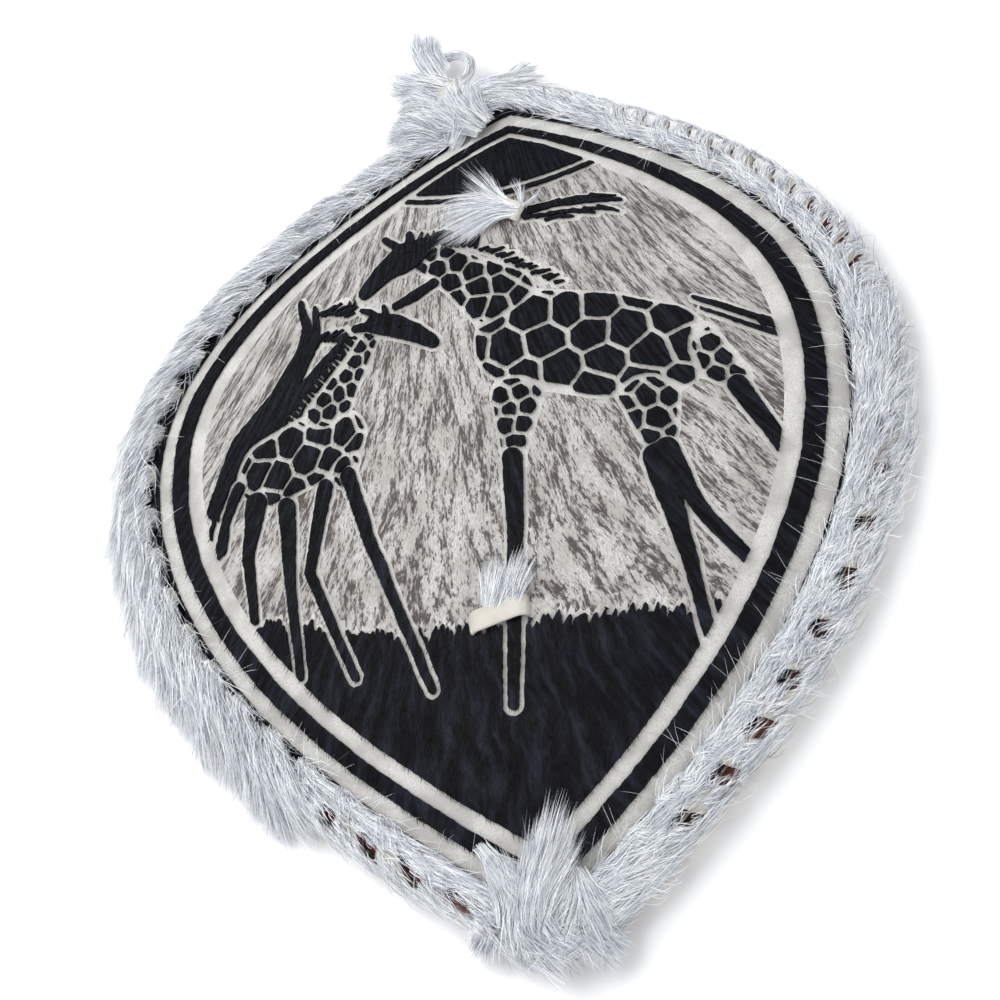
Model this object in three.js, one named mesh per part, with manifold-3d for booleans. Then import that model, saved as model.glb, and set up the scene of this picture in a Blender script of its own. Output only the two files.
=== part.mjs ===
// Hide shield: a domed panel of shaved cowhide on a bent-wood rim, bound on with long-haired goatskin.
// The shield lies on its back. +Y runs to its top tip, +X to its right, +Z out of its face. Millimetres.
import * as THREE from 'three';
import { mergeVertices } from 'three/addons/utils/BufferGeometryUtils.js';
import Module from 'manifold-3d';

const wasm = await Module();
wasm.setup();

// The outline is an almond: the outer edge of the black stripe, from which every other line is offset.
// Its top tip leans to the right, and the stripes narrow towards that tip.
const OUTLINE = {
  halfLeft: 226,
  halfRight: 192,
  above: 205,
  below: 284,
  waist: 30,
  powerAbove: 2.3,
  powerBelow: 1.95,
  lean: 18,
};
const HIDE = { thickness: 3, pile: 2.2, edge: 30, rise: 40, underside: 17, ringPoints: 22 };
const STRIPE = { width: 12, wall: 0.5, narrowing: 0.5 };
const PICTURE_EDGE = -2 * STRIPE.width;
const ROD = { radius: 5.5, offset: 31, height: 10.5, sides: 7, steps: 26, endGap: 5 };
const STRIP = { thickness: 3, pitch: 31.5, slitOut: -14.4, slitLength: 18.5, slitWidth: 5.2 };
const GRIP = { width: 13, thickness: 3, slack: 29, slitLength: 16, slitWidth: 5.4 };
const CLEAR = 0.5;

// One turn of the strip round the rim: distance out from the rod's centre line, height, share of the
// pitch already gone, the strip's width, and how thick the hair stands on its outer face.
const TURN = [
  { out: -14.0, up: 31.5, share: 0.0, width: 14, hair: 1 },
  { out: 2.5, up: 27.0, share: 0.36, width: 21, hair: 3 },
  { out: 10.0, up: 16.0, share: 0.54, width: 24, hair: 9 },
  { out: 9.0, up: 5.0, share: 0.66, width: 21, hair: 4 },
  { out: 1.5, up: 1.5, share: 0.75, width: 19, hair: 0 },
  { out: -8.5, up: 3.8, share: 0.83, width: 16, hair: 0 },
  { out: -14.8, up: 16.0, share: 0.92, width: 14, hair: 0 },
];

// Limbs are chains of [x, y, radius]. The coat is broken into patches, the plain parts are solid hair.
const TALL_GIRAFFE = {
  patch: 23,
  coat: [
    [[-40, 140, 12], [-14, 117, 17], [16, 90, 26]],
    [[24, 62, 32], [70, 52, 34], [102, 44, 29]],
    [[16, 34, 17], [11, 2, 9]],
    [[92, 22, 21], [92, -4, 13]],
    [[120, 42, 17], [141, 20, 9]],
  ],
  plain: [
    [[-80, 122, 6], [-60, 141, 11], [-45, 150, 9]],
    [[-58, 152, 3], [-61, 167, 3]],
    [[-47, 155, 3], [-45, 169, 3]],
    [[10, -12, 6], [8, -50, 4.8], [-5, -152, 3.2]],
    [[92, -26, 8], [102, -82, 4.5], [107, -130, 3.5]],
    [[98, -20, 7], [111, -56, 4.5], [136, -92, 4]],
    [[142, 14, 6], [164, -30, 4.5]],
    [[128, 72, 2.5], [150, 60, 2.5], [170, 48, 4]],
  ],
};
const CALF = {
  patch: 18,
  coat: [
    [[-72, 92, 8], [-90, 65, 11], [-110, 42, 17]],
    [[-98, 28, 17], [-122, 24, 23], [-152, 18, 24]],
  ],
  plain: [
    [[-34, 75, 4.5], [-56, 93, 8], [-68, 100, 6]],
    [[-66, 103, 2.5], [-70, 116, 2.5]],
    [[-76, 99, 3], [-88, 106, 3]],
    [[-84, 98, 4], [-110, 73, 5], [-146, 54, 4]],
    [[-94, 4, 5], [-84, -38, 4], [-52, -136, 2.6]],
    [[-110, -4, 5], [-124, -52, 3.4], [-100, -120, 2.6]],
    [[-138, -12, 6], [-138, -60, 3.4], [-137, -112, 2.6]],
    [[-162, -10, 6], [-168, -36, 4], [-166, -72, 2.8]],
    [[-176, 12, 3], [-187, -8, 3.5]],
  ],
};
const BRANCH = [[-121, 136, 2], [-117, 110, 3], [-121, 94, 5.5], [-152, 56, 9], [-178, 38, 9], [-193, 2, 5]];
const LEAF = [[34, 157, 3], [56, 157, 5], [84, 153, 2.5]];
const HORIZON = [[-240, -62], [-156, -77], [-69, -104], [100, -113], [240, -113]];
const LENS = { floor: 182, sag: 13, centreX: 13, reach: 60, lineLow: 4.5, lineHigh: 7.5 };
const FIGURE = { outline: 3.2, gap: 3.4, shaved: 1.2, step: 2.5, tolerance: 2.0, least: 60 };

// ---- Outline and dome -------------------------------------------------------------------------------

function reach(level, offset) {
  return (level >= 0 ? OUTLINE.above : OUTLINE.below) + offset;
}

function fullness(level) {
  return 1 - Math.abs(level) ** (level >= 0 ? OUTLINE.powerAbove : OUTLINE.powerBelow);
}

function halfWidth(side, offset) {
  return (side < 0 ? OUTLINE.halfLeft : OUTLINE.halfRight) + offset;
}

// How far the outline's middle line stands to the right at a level.
function leaning(level) {
  return OUTLINE.lean * Math.max(0, level) ** 2;
}

// Offsets into the picture shrink towards the top tip.
function inset(level, offset) {
  return offset < 0 ? offset * (1 - STRIPE.narrowing * Math.max(0, level) ** 3) : offset;
}

// level runs from 1 at the top tip to -1 at the bottom tip.
function outlinePoint(side, level, offset) {
  const moved = inset(level, offset);
  const x = leaning(level) + side * halfWidth(side, moved) * fullness(level);
  return new THREE.Vector2(x, OUTLINE.waist + reach(level, moved) * level);
}

function levelAt(y, offset) {
  const rise = y - OUTLINE.waist;
  return rise / reach(Math.sign(rise), offset);
}

function domeHeight(x, y) {
  const full = fullness(THREE.MathUtils.clamp(levelAt(y, HIDE.edge), -1, 1));
  if (full < 1e-6) return 0;
  const half = (halfWidth(-1, HIDE.edge) + halfWidth(1, HIDE.edge)) / 2;
  const middle = (OUTLINE.halfRight - OUTLINE.halfLeft) / 2 * full + leaning(levelAt(y, HIDE.edge));
  return HIDE.rise * Math.max(0, full - (x - middle) ** 2 / (half * half * full));
}

function skinHeight(x, y) {
  return HIDE.underside + HIDE.thickness + domeHeight(x, y);
}

function hairHeight(x, y) {
  return skinHeight(x, y) + HIDE.pile;
}

// Levels that share out one side of the outline in steps of equal length.
function evenLevels(count) {
  const fine = Array.from({ length: 801 }, (_, i) => Math.cos(Math.PI * i / 800));
  const along = [0];
  for (let i = 1; i < fine.length; i += 1) {
    const step = outlinePoint(-1, fine[i], 0).distanceTo(outlinePoint(-1, fine[i - 1], 0));
    along.push(along[i - 1] + step);
  }
  return Array.from({ length: count + 1 }, (_, k) => {
    const wanted = along.at(-1) * k / count;
    return fine[Math.max(0, along.findIndex((value) => value >= wanted - 1e-9))];
  });
}

const LEVELS = evenLevels(HIDE.ringPoints);

// The closed outline at an offset, anticlockwise from the top tip.
function outlineRing(offset) {
  const left = LEVELS.map((level) => outlinePoint(-1, level, offset));
  const right = LEVELS.slice(1, -1).reverse().map((level) => outlinePoint(1, level, offset));
  return [...left, ...right];
}

// ---- Solids -----------------------------------------------------------------------------------------

function meshGeometry(points, faces) {
  const geometry = new THREE.BufferGeometry();
  geometry.setAttribute('position', new THREE.Float32BufferAttribute(points.flatMap((p) => p.toArray()), 3));
  geometry.setIndex(faces.flat());
  return geometry;
}

function signedVolume(points, faces) {
  return faces.reduce((sum, [a, b, c]) => {
    const normal = new THREE.Vector3().crossVectors(points[b], points[c]);
    return sum + points[a].dot(normal) / 6;
  }, 0);
}

function closedGeometry(points, faces) {
  const outward = signedVolume(points, faces) > 0;
  return meshGeometry(points, outward ? faces : faces.map(([a, b, c]) => [a, c, b]));
}

function toSolid(geometry) {
  const bare = geometry.clone();
  bare.deleteAttribute('normal');
  bare.deleteAttribute('uv');
  const merged = mergeVertices(bare, 1e-4);
  return new wasm.Manifold(new wasm.Mesh({
    numProp: 3,
    vertProperties: new Float32Array(merged.attributes.position.array),
    triVerts: new Uint32Array(merged.index.array),
  }));
}

function toGeometry(solid) {
  const mesh = solid.getMesh();
  const geometry = new THREE.BufferGeometry();
  geometry.setAttribute('position', new THREE.BufferAttribute(mesh.vertProperties.slice(), 3));
  geometry.setIndex(new THREE.BufferAttribute(mesh.triVerts.slice(), 1));
  geometry.computeVertexNormals();
  return geometry;
}

function joined(solids) {
  return solids.reduce((whole, solid) => whole.add(solid));
}

// A tube through stations of equal size, each a closed ring of points, with flat ends.
function tubeGeometry(stations) {
  const size = stations[0].length;
  const points = stations.flat();
  const faces = [];
  for (let s = 0; s + 1 < stations.length; s += 1) {
    for (let k = 0; k < size; k += 1) {
      const a = s * size + k;
      const b = s * size + (k + 1) % size;
      faces.push([a, b, b + size], [a, b + size, a + size]);
    }
  }
  const last = (stations.length - 1) * size;
  for (let k = 1; k + 1 < size; k += 1) {
    faces.push([0, k + 1, k], [last, last + k, last + k + 1]);
  }
  return closedGeometry(points, faces);
}

// A closed shell from a middle point out over rings of equal size and back to a middle point.
function ringGeometry(first, rings, last) {
  const size = rings[0].length;
  const points = [...rings.flat(), first, last];
  const top = points.length - 2;
  const bottom = points.length - 1;
  const end = (rings.length - 1) * size;
  const faces = [];
  for (let k = 0; k < size; k += 1) {
    const next = (k + 1) % size;
    faces.push([top, k, next], [bottom, end + next, end + k]);
    for (let r = 0; r + 1 < rings.length; r += 1) {
      const a = r * size + k;
      const b = r * size + next;
      faces.push([a, a + size, b + size], [a, b + size, b]);
    }
  }
  return closedGeometry(points, faces);
}

function prism(shape, low, high) {
  const geometry = new THREE.ExtrudeGeometry(shape, { depth: high - low, bevelEnabled: false });
  geometry.translate(0, 0, low);
  return toSolid(geometry);
}

// ---- The picture: signed distances, below zero where hair is left standing -----------------------------

function capsule(x, y, from, to) {
  const dx = to[0] - from[0];
  const dy = to[1] - from[1];
  const share = THREE.MathUtils.clamp(((x - from[0]) * dx + (y - from[1]) * dy) / (dx * dx + dy * dy), 0, 1);
  const radius = THREE.MathUtils.lerp(from[2], to[2], share);
  return Math.hypot(x - from[0] - dx * share, y - from[1] - dy * share) - radius;
}

function limb(x, y, joints) {
  return Math.min(...joints.slice(1).map((joint, i) => capsule(x, y, joints[i], joint)));
}

function limbs(x, y, chains) {
  return Math.min(...chains.map((joints) => limb(x, y, joints)));
}

function scatter(i, j, k) {
  const wave = Math.sin(i * 12.9898 + j * 78.233 + k * 37.719) * 43758.5453;
  return wave - Math.floor(wave) - 0.5;
}

function patchSeed(i, j, size) {
  const x = (i + 0.5 * Math.abs(j % 2) + 0.5 * scatter(i, j, 1)) * size;
  return [x, (j + 0.5 * scatter(i, j, 2)) * size * 0.87];
}

// Distance from a point to the nearest line between two patches.
function patchEdge(x, y, size) {
  const row = Math.round(y / (size * 0.87));
  const column = Math.round(x / size);
  const seeds = [];
  for (let j = row - 2; j <= row + 2; j += 1) {
    for (let i = column - 2; i <= column + 2; i += 1) seeds.push(patchSeed(i, j, size));
  }
  const away = (seed) => Math.hypot(x - seed[0], y - seed[1]);
  const own = seeds.reduce((best, seed) => (away(seed) < away(best) ? seed : best));
  return Math.min(...seeds.filter((seed) => seed !== own).map((seed) => {
    const apart = Math.hypot(seed[0] - own[0], seed[1] - own[1]);
    return (away(seed) ** 2 - away(own) ** 2) / (2 * apart);
  }));
}

function horizonHeight(x) {
  const next = HORIZON.findIndex(([end]) => end >= x);
  const [x0, y0] = HORIZON[next - 1];
  const [x1, y1] = HORIZON[next];
  return THREE.MathUtils.mapLinear(x, x0, x1, y0, y1);
}

// The lower edge of the black lens under the top tip sags between its two ends.
function lensFloor(x) {
  return LENS.floor + LENS.sag * ((x - LENS.centreX) / LENS.reach) ** 2;
}

function lensDistance(x, y) {
  const drop = lensFloor(x) - y;
  const line = Math.max(LENS.lineLow - drop, drop - LENS.lineHigh);
  return Math.min(drop, line);
}

function pictureDistance(x, y) {
  const edge = inset(levelAt(y, PICTURE_EDGE), PICTURE_EDGE);
  const level = levelAt(y, edge);
  if (Math.abs(level) >= 1) return 10;
  const across = x - leaning(level);
  const half = halfWidth(Math.sign(across), edge);
  const slope = (fullness(level + 0.005) - fullness(level - 0.005)) / 0.01;
  return (Math.abs(across) - half * fullness(level)) / Math.hypot(1, slope * half / reach(level, edge));
}

function figureHair(x, y, figure, behind) {
  const plain = limbs(x, y, figure.plain);
  const coat = limbs(x, y, figure.coat);
  const patches = Math.max(coat + FIGURE.shaved, FIGURE.gap / 2 - patchEdge(x, y, figure.patch));
  const patched = Math.max(patches, FIGURE.outline / 2 - plain);
  const cleared = Math.max(behind, FIGURE.outline - Math.min(coat, plain));
  return Math.min(cleared, patched, plain);
}

function hairDistance(x, y) {
  const ground = y - horizonHeight(x);
  let hair = Math.min(ground, lensDistance(x, y), limb(x, y, BRANCH), limb(x, y, LEAF));
  hair = figureHair(x, y, TALL_GIRAFFE, hair);
  hair = figureHair(x, y, CALF, hair);
  return Math.max(hair, pictureDistance(x, y));
}

// ---- Outlines of the hair, traced from the signed distance on a square grid ------------------------------

function crossing(a, b) {
  const share = a.value / (a.value - b.value);
  return new THREE.Vector2(THREE.MathUtils.lerp(a.x, b.x, share), THREE.MathUtils.lerp(a.y, b.y, share));
}

// Links of the boundary in one square, with the hair on the left of each link.
function squareLinks(corners) {
  const links = [];
  const middle = corners.reduce((sum, corner) => sum + corner.value, 0) / 4;
  const enter = [];
  const leave = [];
  for (let k = 0; k < 4; k += 1) {
    const a = corners[k];
    const b = corners[(k + 1) % 4];
    if (a.value < 0 && b.value >= 0) leave.push({ edge: k, key: edgeKey(a, b), point: crossing(a, b) });
    if (a.value >= 0 && b.value < 0) enter.push({ edge: k, key: edgeKey(a, b), point: crossing(a, b) });
  }
  for (const start of leave) {
    const turn = enter.length > 1 && middle < 0 ? 1 : 3;
    const end = enter.length > 1 ? enter.find((e) => e.edge === (start.edge + turn) % 4) : enter[0];
    links.push([start, end]);
  }
  return links;
}

function edgeKey(a, b) {
  return `${Math.min(a.i, b.i)},${Math.min(a.j, b.j)},${a.i === b.i ? 'v' : 'h'}`;
}

function traceLoops(field, box, step) {
  const sample = (i, j) => {
    const x = box.min.x + i * step;
    const y = box.min.y + j * step;
    return { i, j, x, y, value: field(x, y) };
  };
  const columns = Math.ceil((box.max.x - box.min.x) / step);
  const rows = Math.ceil((box.max.y - box.min.y) / step);
  const grid = Array.from({ length: columns + 1 }, (_, i) =>
    Array.from({ length: rows + 1 }, (_, j) => sample(i, j)));
  const links = new Map();
  for (let i = 0; i < columns; i += 1) {
    for (let j = 0; j < rows; j += 1) {
      const corners = [grid[i][j], grid[i + 1][j], grid[i + 1][j + 1], grid[i][j + 1]];
      for (const [start, end] of squareLinks(corners)) links.set(start.key, { point: start.point, next: end.key });
    }
  }
  return followLoops(links);
}

function followLoops(links) {
  const loops = [];
  while (links.size > 0) {
    const loop = [];
    let key = links.keys().next().value;
    while (links.has(key)) {
      const link = links.get(key);
      links.delete(key);
      loop.push(link.point);
      key = link.next;
    }
    loops.push(loop);
  }
  return loops;
}

function chordDistance(point, a, b) {
  const length = a.distanceTo(b);
  if (length < 1e-9) return point.distanceTo(a);
  return Math.abs((b.x - a.x) * (point.y - a.y) - (b.y - a.y) * (point.x - a.x)) / length;
}

function thinRun(run, tolerance) {
  const away = run.map((point) => chordDistance(point, run[0], run.at(-1)));
  const far = away.indexOf(Math.max(...away));
  if (away[far] <= tolerance) return [run[0]];
  return [...thinRun(run.slice(0, far + 1), tolerance), ...thinRun(run.slice(far), tolerance)];
}

function thinLoop(loop, tolerance) {
  const away = loop.map((point) => point.distanceTo(loop[0]));
  const far = away.indexOf(Math.max(...away));
  const back = [...loop.slice(far), loop[0]];
  return [...thinRun(loop.slice(0, far + 1), tolerance), ...thinRun(back, tolerance)];
}

function inside(point, loop) {
  let odd = false;
  loop.forEach((a, i) => {
    const b = loop[(i + 1) % loop.length];
    const across = (a.y > point.y) !== (b.y > point.y);
    if (across && point.x < (b.x - a.x) * (point.y - a.y) / (b.y - a.y) + a.x) odd = !odd;
  });
  return odd;
}

// Shapes with holes: a hole belongs to the smallest outline around it.
function shapesFromLoops(loops) {
  const outers = loops.filter((loop) => THREE.ShapeUtils.area(loop) > FIGURE.least);
  const holes = loops.filter((loop) => THREE.ShapeUtils.area(loop) < -FIGURE.least);
  outers.sort((a, b) => THREE.ShapeUtils.area(a) - THREE.ShapeUtils.area(b));
  const shapes = outers.map((loop) => new THREE.Shape(loop));
  for (const hole of holes) {
    const owner = outers.findIndex((loop) => inside(hole[0], loop));
    if (owner >= 0) shapes[owner].holes.push(new THREE.Path(hole));
  }
  return shapes;
}

function pictureShapes() {
  const low = outlinePoint(1, -1, 0);
  const high = outlinePoint(1, 1, 0);
  const box = new THREE.Box2(
    new THREE.Vector2(-OUTLINE.halfLeft, low.y),
    new THREE.Vector2(OUTLINE.halfRight, high.y),
  );
  const loops = traceLoops(hairDistance, box, FIGURE.step);
  const thinned = loops.map((loop) => thinLoop(loop, FIGURE.tolerance)).filter((loop) => loop.length > 3);
  return shapesFromLoops(thinned);
}

// ---- Hide panel -------------------------------------------------------------------------------------

function lift(ring, level) {
  return ring.map((p) => new THREE.Vector3(p.x, p.y, skinHeight(p.x, p.y) + level));
}

function pictureRing(share) {
  return outlineRing(PICTURE_EDGE).map((p) => new THREE.Vector2(
    p.x * share,
    OUTLINE.waist + (p.y - OUTLINE.waist) * share,
  ));
}

function middlePoint(level) {
  return new THREE.Vector3(0, OUTLINE.waist, skinHeight(0, OUTLINE.waist) + level);
}

// Border stripes are steps in the face: shaved, hair, shaved, then hair again out to the edge.
function plateSolid() {
  const { width, wall } = STRIPE;
  const rings = [
    lift(pictureRing(0.45), 0),
    lift(pictureRing(0.8), 0),
    lift(outlineRing(-width), 0),
    lift(outlineRing(-width + wall), HIDE.pile),
    lift(outlineRing(-wall), HIDE.pile),
    lift(outlineRing(0), 0),
    lift(outlineRing(width), 0),
    lift(outlineRing(width + wall), HIDE.pile),
    lift(outlineRing(HIDE.edge), HIDE.pile),
    lift(outlineRing(HIDE.edge), -HIDE.thickness),
    lift(outlineRing(0), -HIDE.thickness),
    lift(pictureRing(0.55), -HIDE.thickness),
  ];
  return toSolid(ringGeometry(middlePoint(0), rings, middlePoint(-HIDE.thickness)));
}

function pileSolid() {
  const root = 1.2;
  const sparse = (ring) => ring.filter((_, i) => i % 2 === 0);
  const rings = [
    lift(sparse(pictureRing(0.45)), HIDE.pile),
    lift(sparse(pictureRing(0.8)), HIDE.pile),
    lift(sparse(outlineRing(0)), HIDE.pile),
    lift(sparse(outlineRing(0)), -root),
    lift(sparse(pictureRing(0.6)), -root),
  ];
  return toSolid(ringGeometry(middlePoint(HIDE.pile), rings, middlePoint(-root)));
}

function slitPrism(x, y, angle, length, width) {
  const geometry = new THREE.BoxGeometry(length, width, 4 * HIDE.rise);
  geometry.rotateZ(angle);
  geometry.translate(x, y, HIDE.rise);
  return toSolid(geometry);
}

function rimSlits() {
  return ['left', 'right'].flatMap((side) => turnStarts(side).map((start) => {
    const frame = rimFrame(side, start + 0.96 * STRIP.pitch, STRIP.slitOut);
    const angle = Math.atan2(frame.along.y, frame.along.x);
    return slitPrism(frame.point.x, frame.point.y, angle, STRIP.slitLength, STRIP.slitWidth);
  }));
}

function hidePanel() {
  const relief = joined(pictureShapes().map((shape) => prism(shape, 0, 2 * HIDE.rise)));
  const face = plateSolid().add(pileSolid().intersect(relief));
  const slits = joined([...rimSlits(), ...gripSlits()]);
  return toGeometry(face.subtract(slits));
}

// ---- Rim --------------------------------------------------------------------------------------------

// The rod's centre line on one side, followed anticlockwise: down the left, up the right.
function rimCurve(side) {
  const sign = side === 'left' ? -1 : 1;
  const levels = Array.from({ length: 401 }, (_, i) => -sign * Math.cos(Math.PI * i / 400));
  return levels.map((level) => outlinePoint(sign, level, ROD.offset));
}

function runLengths(curve) {
  const lengths = [0];
  for (let i = 1; i < curve.length; i += 1) {
    lengths.push(lengths[i - 1] + curve[i].distanceTo(curve[i - 1]));
  }
  return lengths;
}

const RIM = Object.fromEntries(['left', 'right'].map((side) => {
  const curve = rimCurve(side);
  return [side, { curve, lengths: runLengths(curve) }];
}));

function rimLength(side) {
  return RIM[side].lengths.at(-1);
}

// A place on the rim: its point, moved out by a distance, and the direction along the rim.
function rimFrame(side, distance, out) {
  const { curve, lengths } = RIM[side];
  const next = Math.max(1, lengths.findIndex((length) => length >= distance));
  const share = (distance - lengths[next - 1]) / (lengths[next] - lengths[next - 1]);
  const along = curve[next].clone().sub(curve[next - 1]).normalize();
  const point = curve[next - 1].clone().lerp(curve[next], share);
  point.add(new THREE.Vector2(along.y, -along.x).multiplyScalar(out));
  return { point, along };
}

function rimPlace(side, distance, out, up) {
  const { point } = rimFrame(side, distance, out);
  return new THREE.Vector3(point.x, point.y, up);
}

function rimRod(side) {
  const length = rimLength(side);
  const stations = Array.from({ length: ROD.steps + 1 }, (_, i) => {
    const distance = THREE.MathUtils.lerp(ROD.endGap, length - ROD.endGap, i / ROD.steps);
    return Array.from({ length: ROD.sides }, (__, k) => {
      const angle = 2 * Math.PI * (k + 0.5) / ROD.sides;
      const up = ROD.height + ROD.radius * Math.sin(angle);
      return rimPlace(side, distance, ROD.radius * Math.cos(angle), up);
    });
  });
  return tubeGeometry(stations);
}

// ---- Binding strips ---------------------------------------------------------------------------------

// The left strip starts beside the top tip, the right one beside the bottom tip. The left one is the shaggier.
const RUN = {
  left: { start: 24, end: 60, shag: 1.6 },
  right: { start: 40, end: 34, shag: 0.55 },
};

function turnStarts(side) {
  const { start, end } = RUN[side];
  const count = Math.floor((rimLength(side) - start - end) / STRIP.pitch);
  return Array.from({ length: count }, (_, i) => start + i * STRIP.pitch);
}

// The direction square to the strip in the rim's cross-section, from its neighbours on the turn.
function turnNormal(index) {
  const before = TURN[(index + TURN.length - 1) % TURN.length];
  const after = TURN[(index + 1) % TURN.length];
  const run = new THREE.Vector2(after.out - before.out, after.up - before.up).normalize();
  return new THREE.Vector2(-run.y, run.x);
}

function turnStation(side, start, index) {
  const step = TURN[index];
  const distance = start + step.share * STRIP.pitch;
  const normal = turnNormal(index);
  const inner = -STRIP.thickness / 2;
  const outer = STRIP.thickness / 2 + step.hair * RUN[side].shag;
  const corner = (end, depth) => rimPlace(
    side,
    distance + end * step.width / 2,
    step.out + depth * normal.x,
    step.up + depth * normal.y,
  );
  return [corner(-1, inner), corner(1, inner), corner(1, outer), corner(-1, outer)];
}

function spiralSolid(side) {
  const starts = turnStarts(side);
  const stations = starts.flatMap((start) => TURN.map((_, index) => turnStation(side, start, index)));
  stations.push(turnStation(side, starts.at(-1) + STRIP.pitch, 0));
  return toSolid(tubeGeometry(stations));
}

// A flat band through [x, y, z, width], lying level, of one thickness.
function levelBand(places, thickness) {
  const stations = places.map(([x, y, z, width], i) => {
    const before = places[Math.max(0, i - 1)];
    const after = places[Math.min(places.length - 1, i + 1)];
    const run = new THREE.Vector2(after[0] - before[0], after[1] - before[1]).normalize();
    const across = new THREE.Vector3(-run.y, run.x, 0).multiplyScalar(width / 2);
    const up = new THREE.Vector3(0, 0, thickness / 2);
    const centre = new THREE.Vector3(x, y, z);
    return [[-1, -1], [1, -1], [1, 1], [-1, 1]].map(([a, b]) =>
      centre.clone().addScaledVector(across, a).addScaledVector(up, b));
  });
  return toSolid(tubeGeometry(stations));
}

// The end of the left strip is tied off in a loop that stands out past the top tip.
const TOP_KNOT = {
  centre: [-23, 302],
  outer: 16,
  hole: 7,
  low: 16,
  high: 22,
  bands: [
    [[-20, 252, 34.5, 18], [-23, 268, 34.5, 18], [-23, 286, 28, 18], [-23, 294, 20, 14]],
    [[-28, 290, 20, 16], [-46, 300, 18, 13], [-67, 313, 13, 4]],
    [[-34, 300, 20, 9], [-42, 320, 19, 9], [-47, 338, 15, 4]],
    [[-28, 308, 19.5, 8], [-33, 324, 18, 7], [-35, 336, 15, 3]],
  ],
  thickness: 5,
};

function topKnot() {
  const [x, y] = TOP_KNOT.centre;
  const loop = new THREE.Shape().absarc(x, y, TOP_KNOT.outer, 0, 2 * Math.PI);
  loop.holes.push(new THREE.Path().absarc(x, y, TOP_KNOT.hole, 0, 2 * Math.PI));
  const geometry = new THREE.ExtrudeGeometry(loop, {
    depth: TOP_KNOT.high - TOP_KNOT.low,
    bevelEnabled: false,
    curveSegments: 9,
  });
  geometry.translate(0, 0, TOP_KNOT.low);
  return [toSolid(geometry), ...TOP_KNOT.bands.map((band) => levelBand(band, TOP_KNOT.thickness))];
}

// The right strip starts in two bands crossed over the bottom tip. [x, y, width], laid on the hide.
const BOTTOM_KNOT = {
  thickness: 4.5,
  middle: [0, -258],
  crossed: [
    [[-27, -231, 13], [-14, -247, 15], [0, -262, 16], [14, -276, 16], [26, -290, 14]],
    [[20, -233, 13], [8, -247, 15], [-6, -262, 16], [-20, -276, 15], [-36, -288, 12]],
  ],
  tails: [
    [[22, -286, 18, 14], [34, -294, 13, 11], [46, -302, 8, 4]],
    [[-32, -286, 18, 12], [-42, -291, 12, 9], [-52, -293, 7, 4]],
    [[-2, -265, 35, 16], [-2, -291, 26, 16], [-1, -304, 9, 6]],
  ],
  tuft: [[-2, -254, 12], [2, -240, 12], [6, -226, 10], [9, -212, 4]],
};

function restingHeight(x, y) {
  const sunk = Math.max(0, -y - 270) * 0.55;
  return hairHeight(x, y) + CLEAR + BOTTOM_KNOT.thickness / 2 + 2.4 - sunk;
}

function bottomKnot() {
  const laid = (places, rise) => places.map(([x, y, width]) => [x, y, restingHeight(x, y) + rise, width]);
  return [
    ...BOTTOM_KNOT.crossed.map((band) => levelBand(laid(band, 0), BOTTOM_KNOT.thickness)),
    ...BOTTOM_KNOT.tails.map((band) => levelBand(band, BOTTOM_KNOT.thickness)),
    levelBand(laid(BOTTOM_KNOT.tuft, 1.5), BOTTOM_KNOT.thickness),
  ];
}

// The strip's lead runs from its first turn over the face to the middle of its knot.
function leadBand(side, [x, y, z, width]) {
  const first = TURN[0];
  const from = rimPlace(side, RUN[side].start, first.out, first.up + first.hair);
  return levelBand([[from.x, from.y, from.z, first.width], [x, y, z, width]], BOTTOM_KNOT.thickness);
}

function binding(side) {
  const lead = side === 'left'
    ? leadBand(side, TOP_KNOT.bands[0][1])
    : leadBand(side, [...BOTTOM_KNOT.middle, restingHeight(...BOTTOM_KNOT.middle), 16]);
  const knot = side === 'left' ? topKnot() : bottomKnot();
  return toGeometry(joined([spiralSolid(side), lead, ...knot]));
}

// ---- Hand grip --------------------------------------------------------------------------------------

// The strap lies on the face as a flap, goes down through the upper slit, hangs in a slack arch behind,
// comes up through the left lower slit, crosses the face as a staple and goes back down on its right.
const UPPER_SLIT = { x: 25, y: 156, angle: 1.05 };
const STAPLE = { left: -24, right: 9, leftY: -104, rightY: -98 };

function gripSlits() {
  return [
    slitPrism(UPPER_SLIT.x, UPPER_SLIT.y, UPPER_SLIT.angle, GRIP.slitLength, GRIP.slitWidth),
    slitPrism(STAPLE.left, STAPLE.leftY, Math.PI / 2, GRIP.slitLength, GRIP.slitWidth),
    slitPrism(STAPLE.right, STAPLE.rightY, Math.PI / 2, GRIP.slitLength, GRIP.slitWidth),
  ];
}

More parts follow.
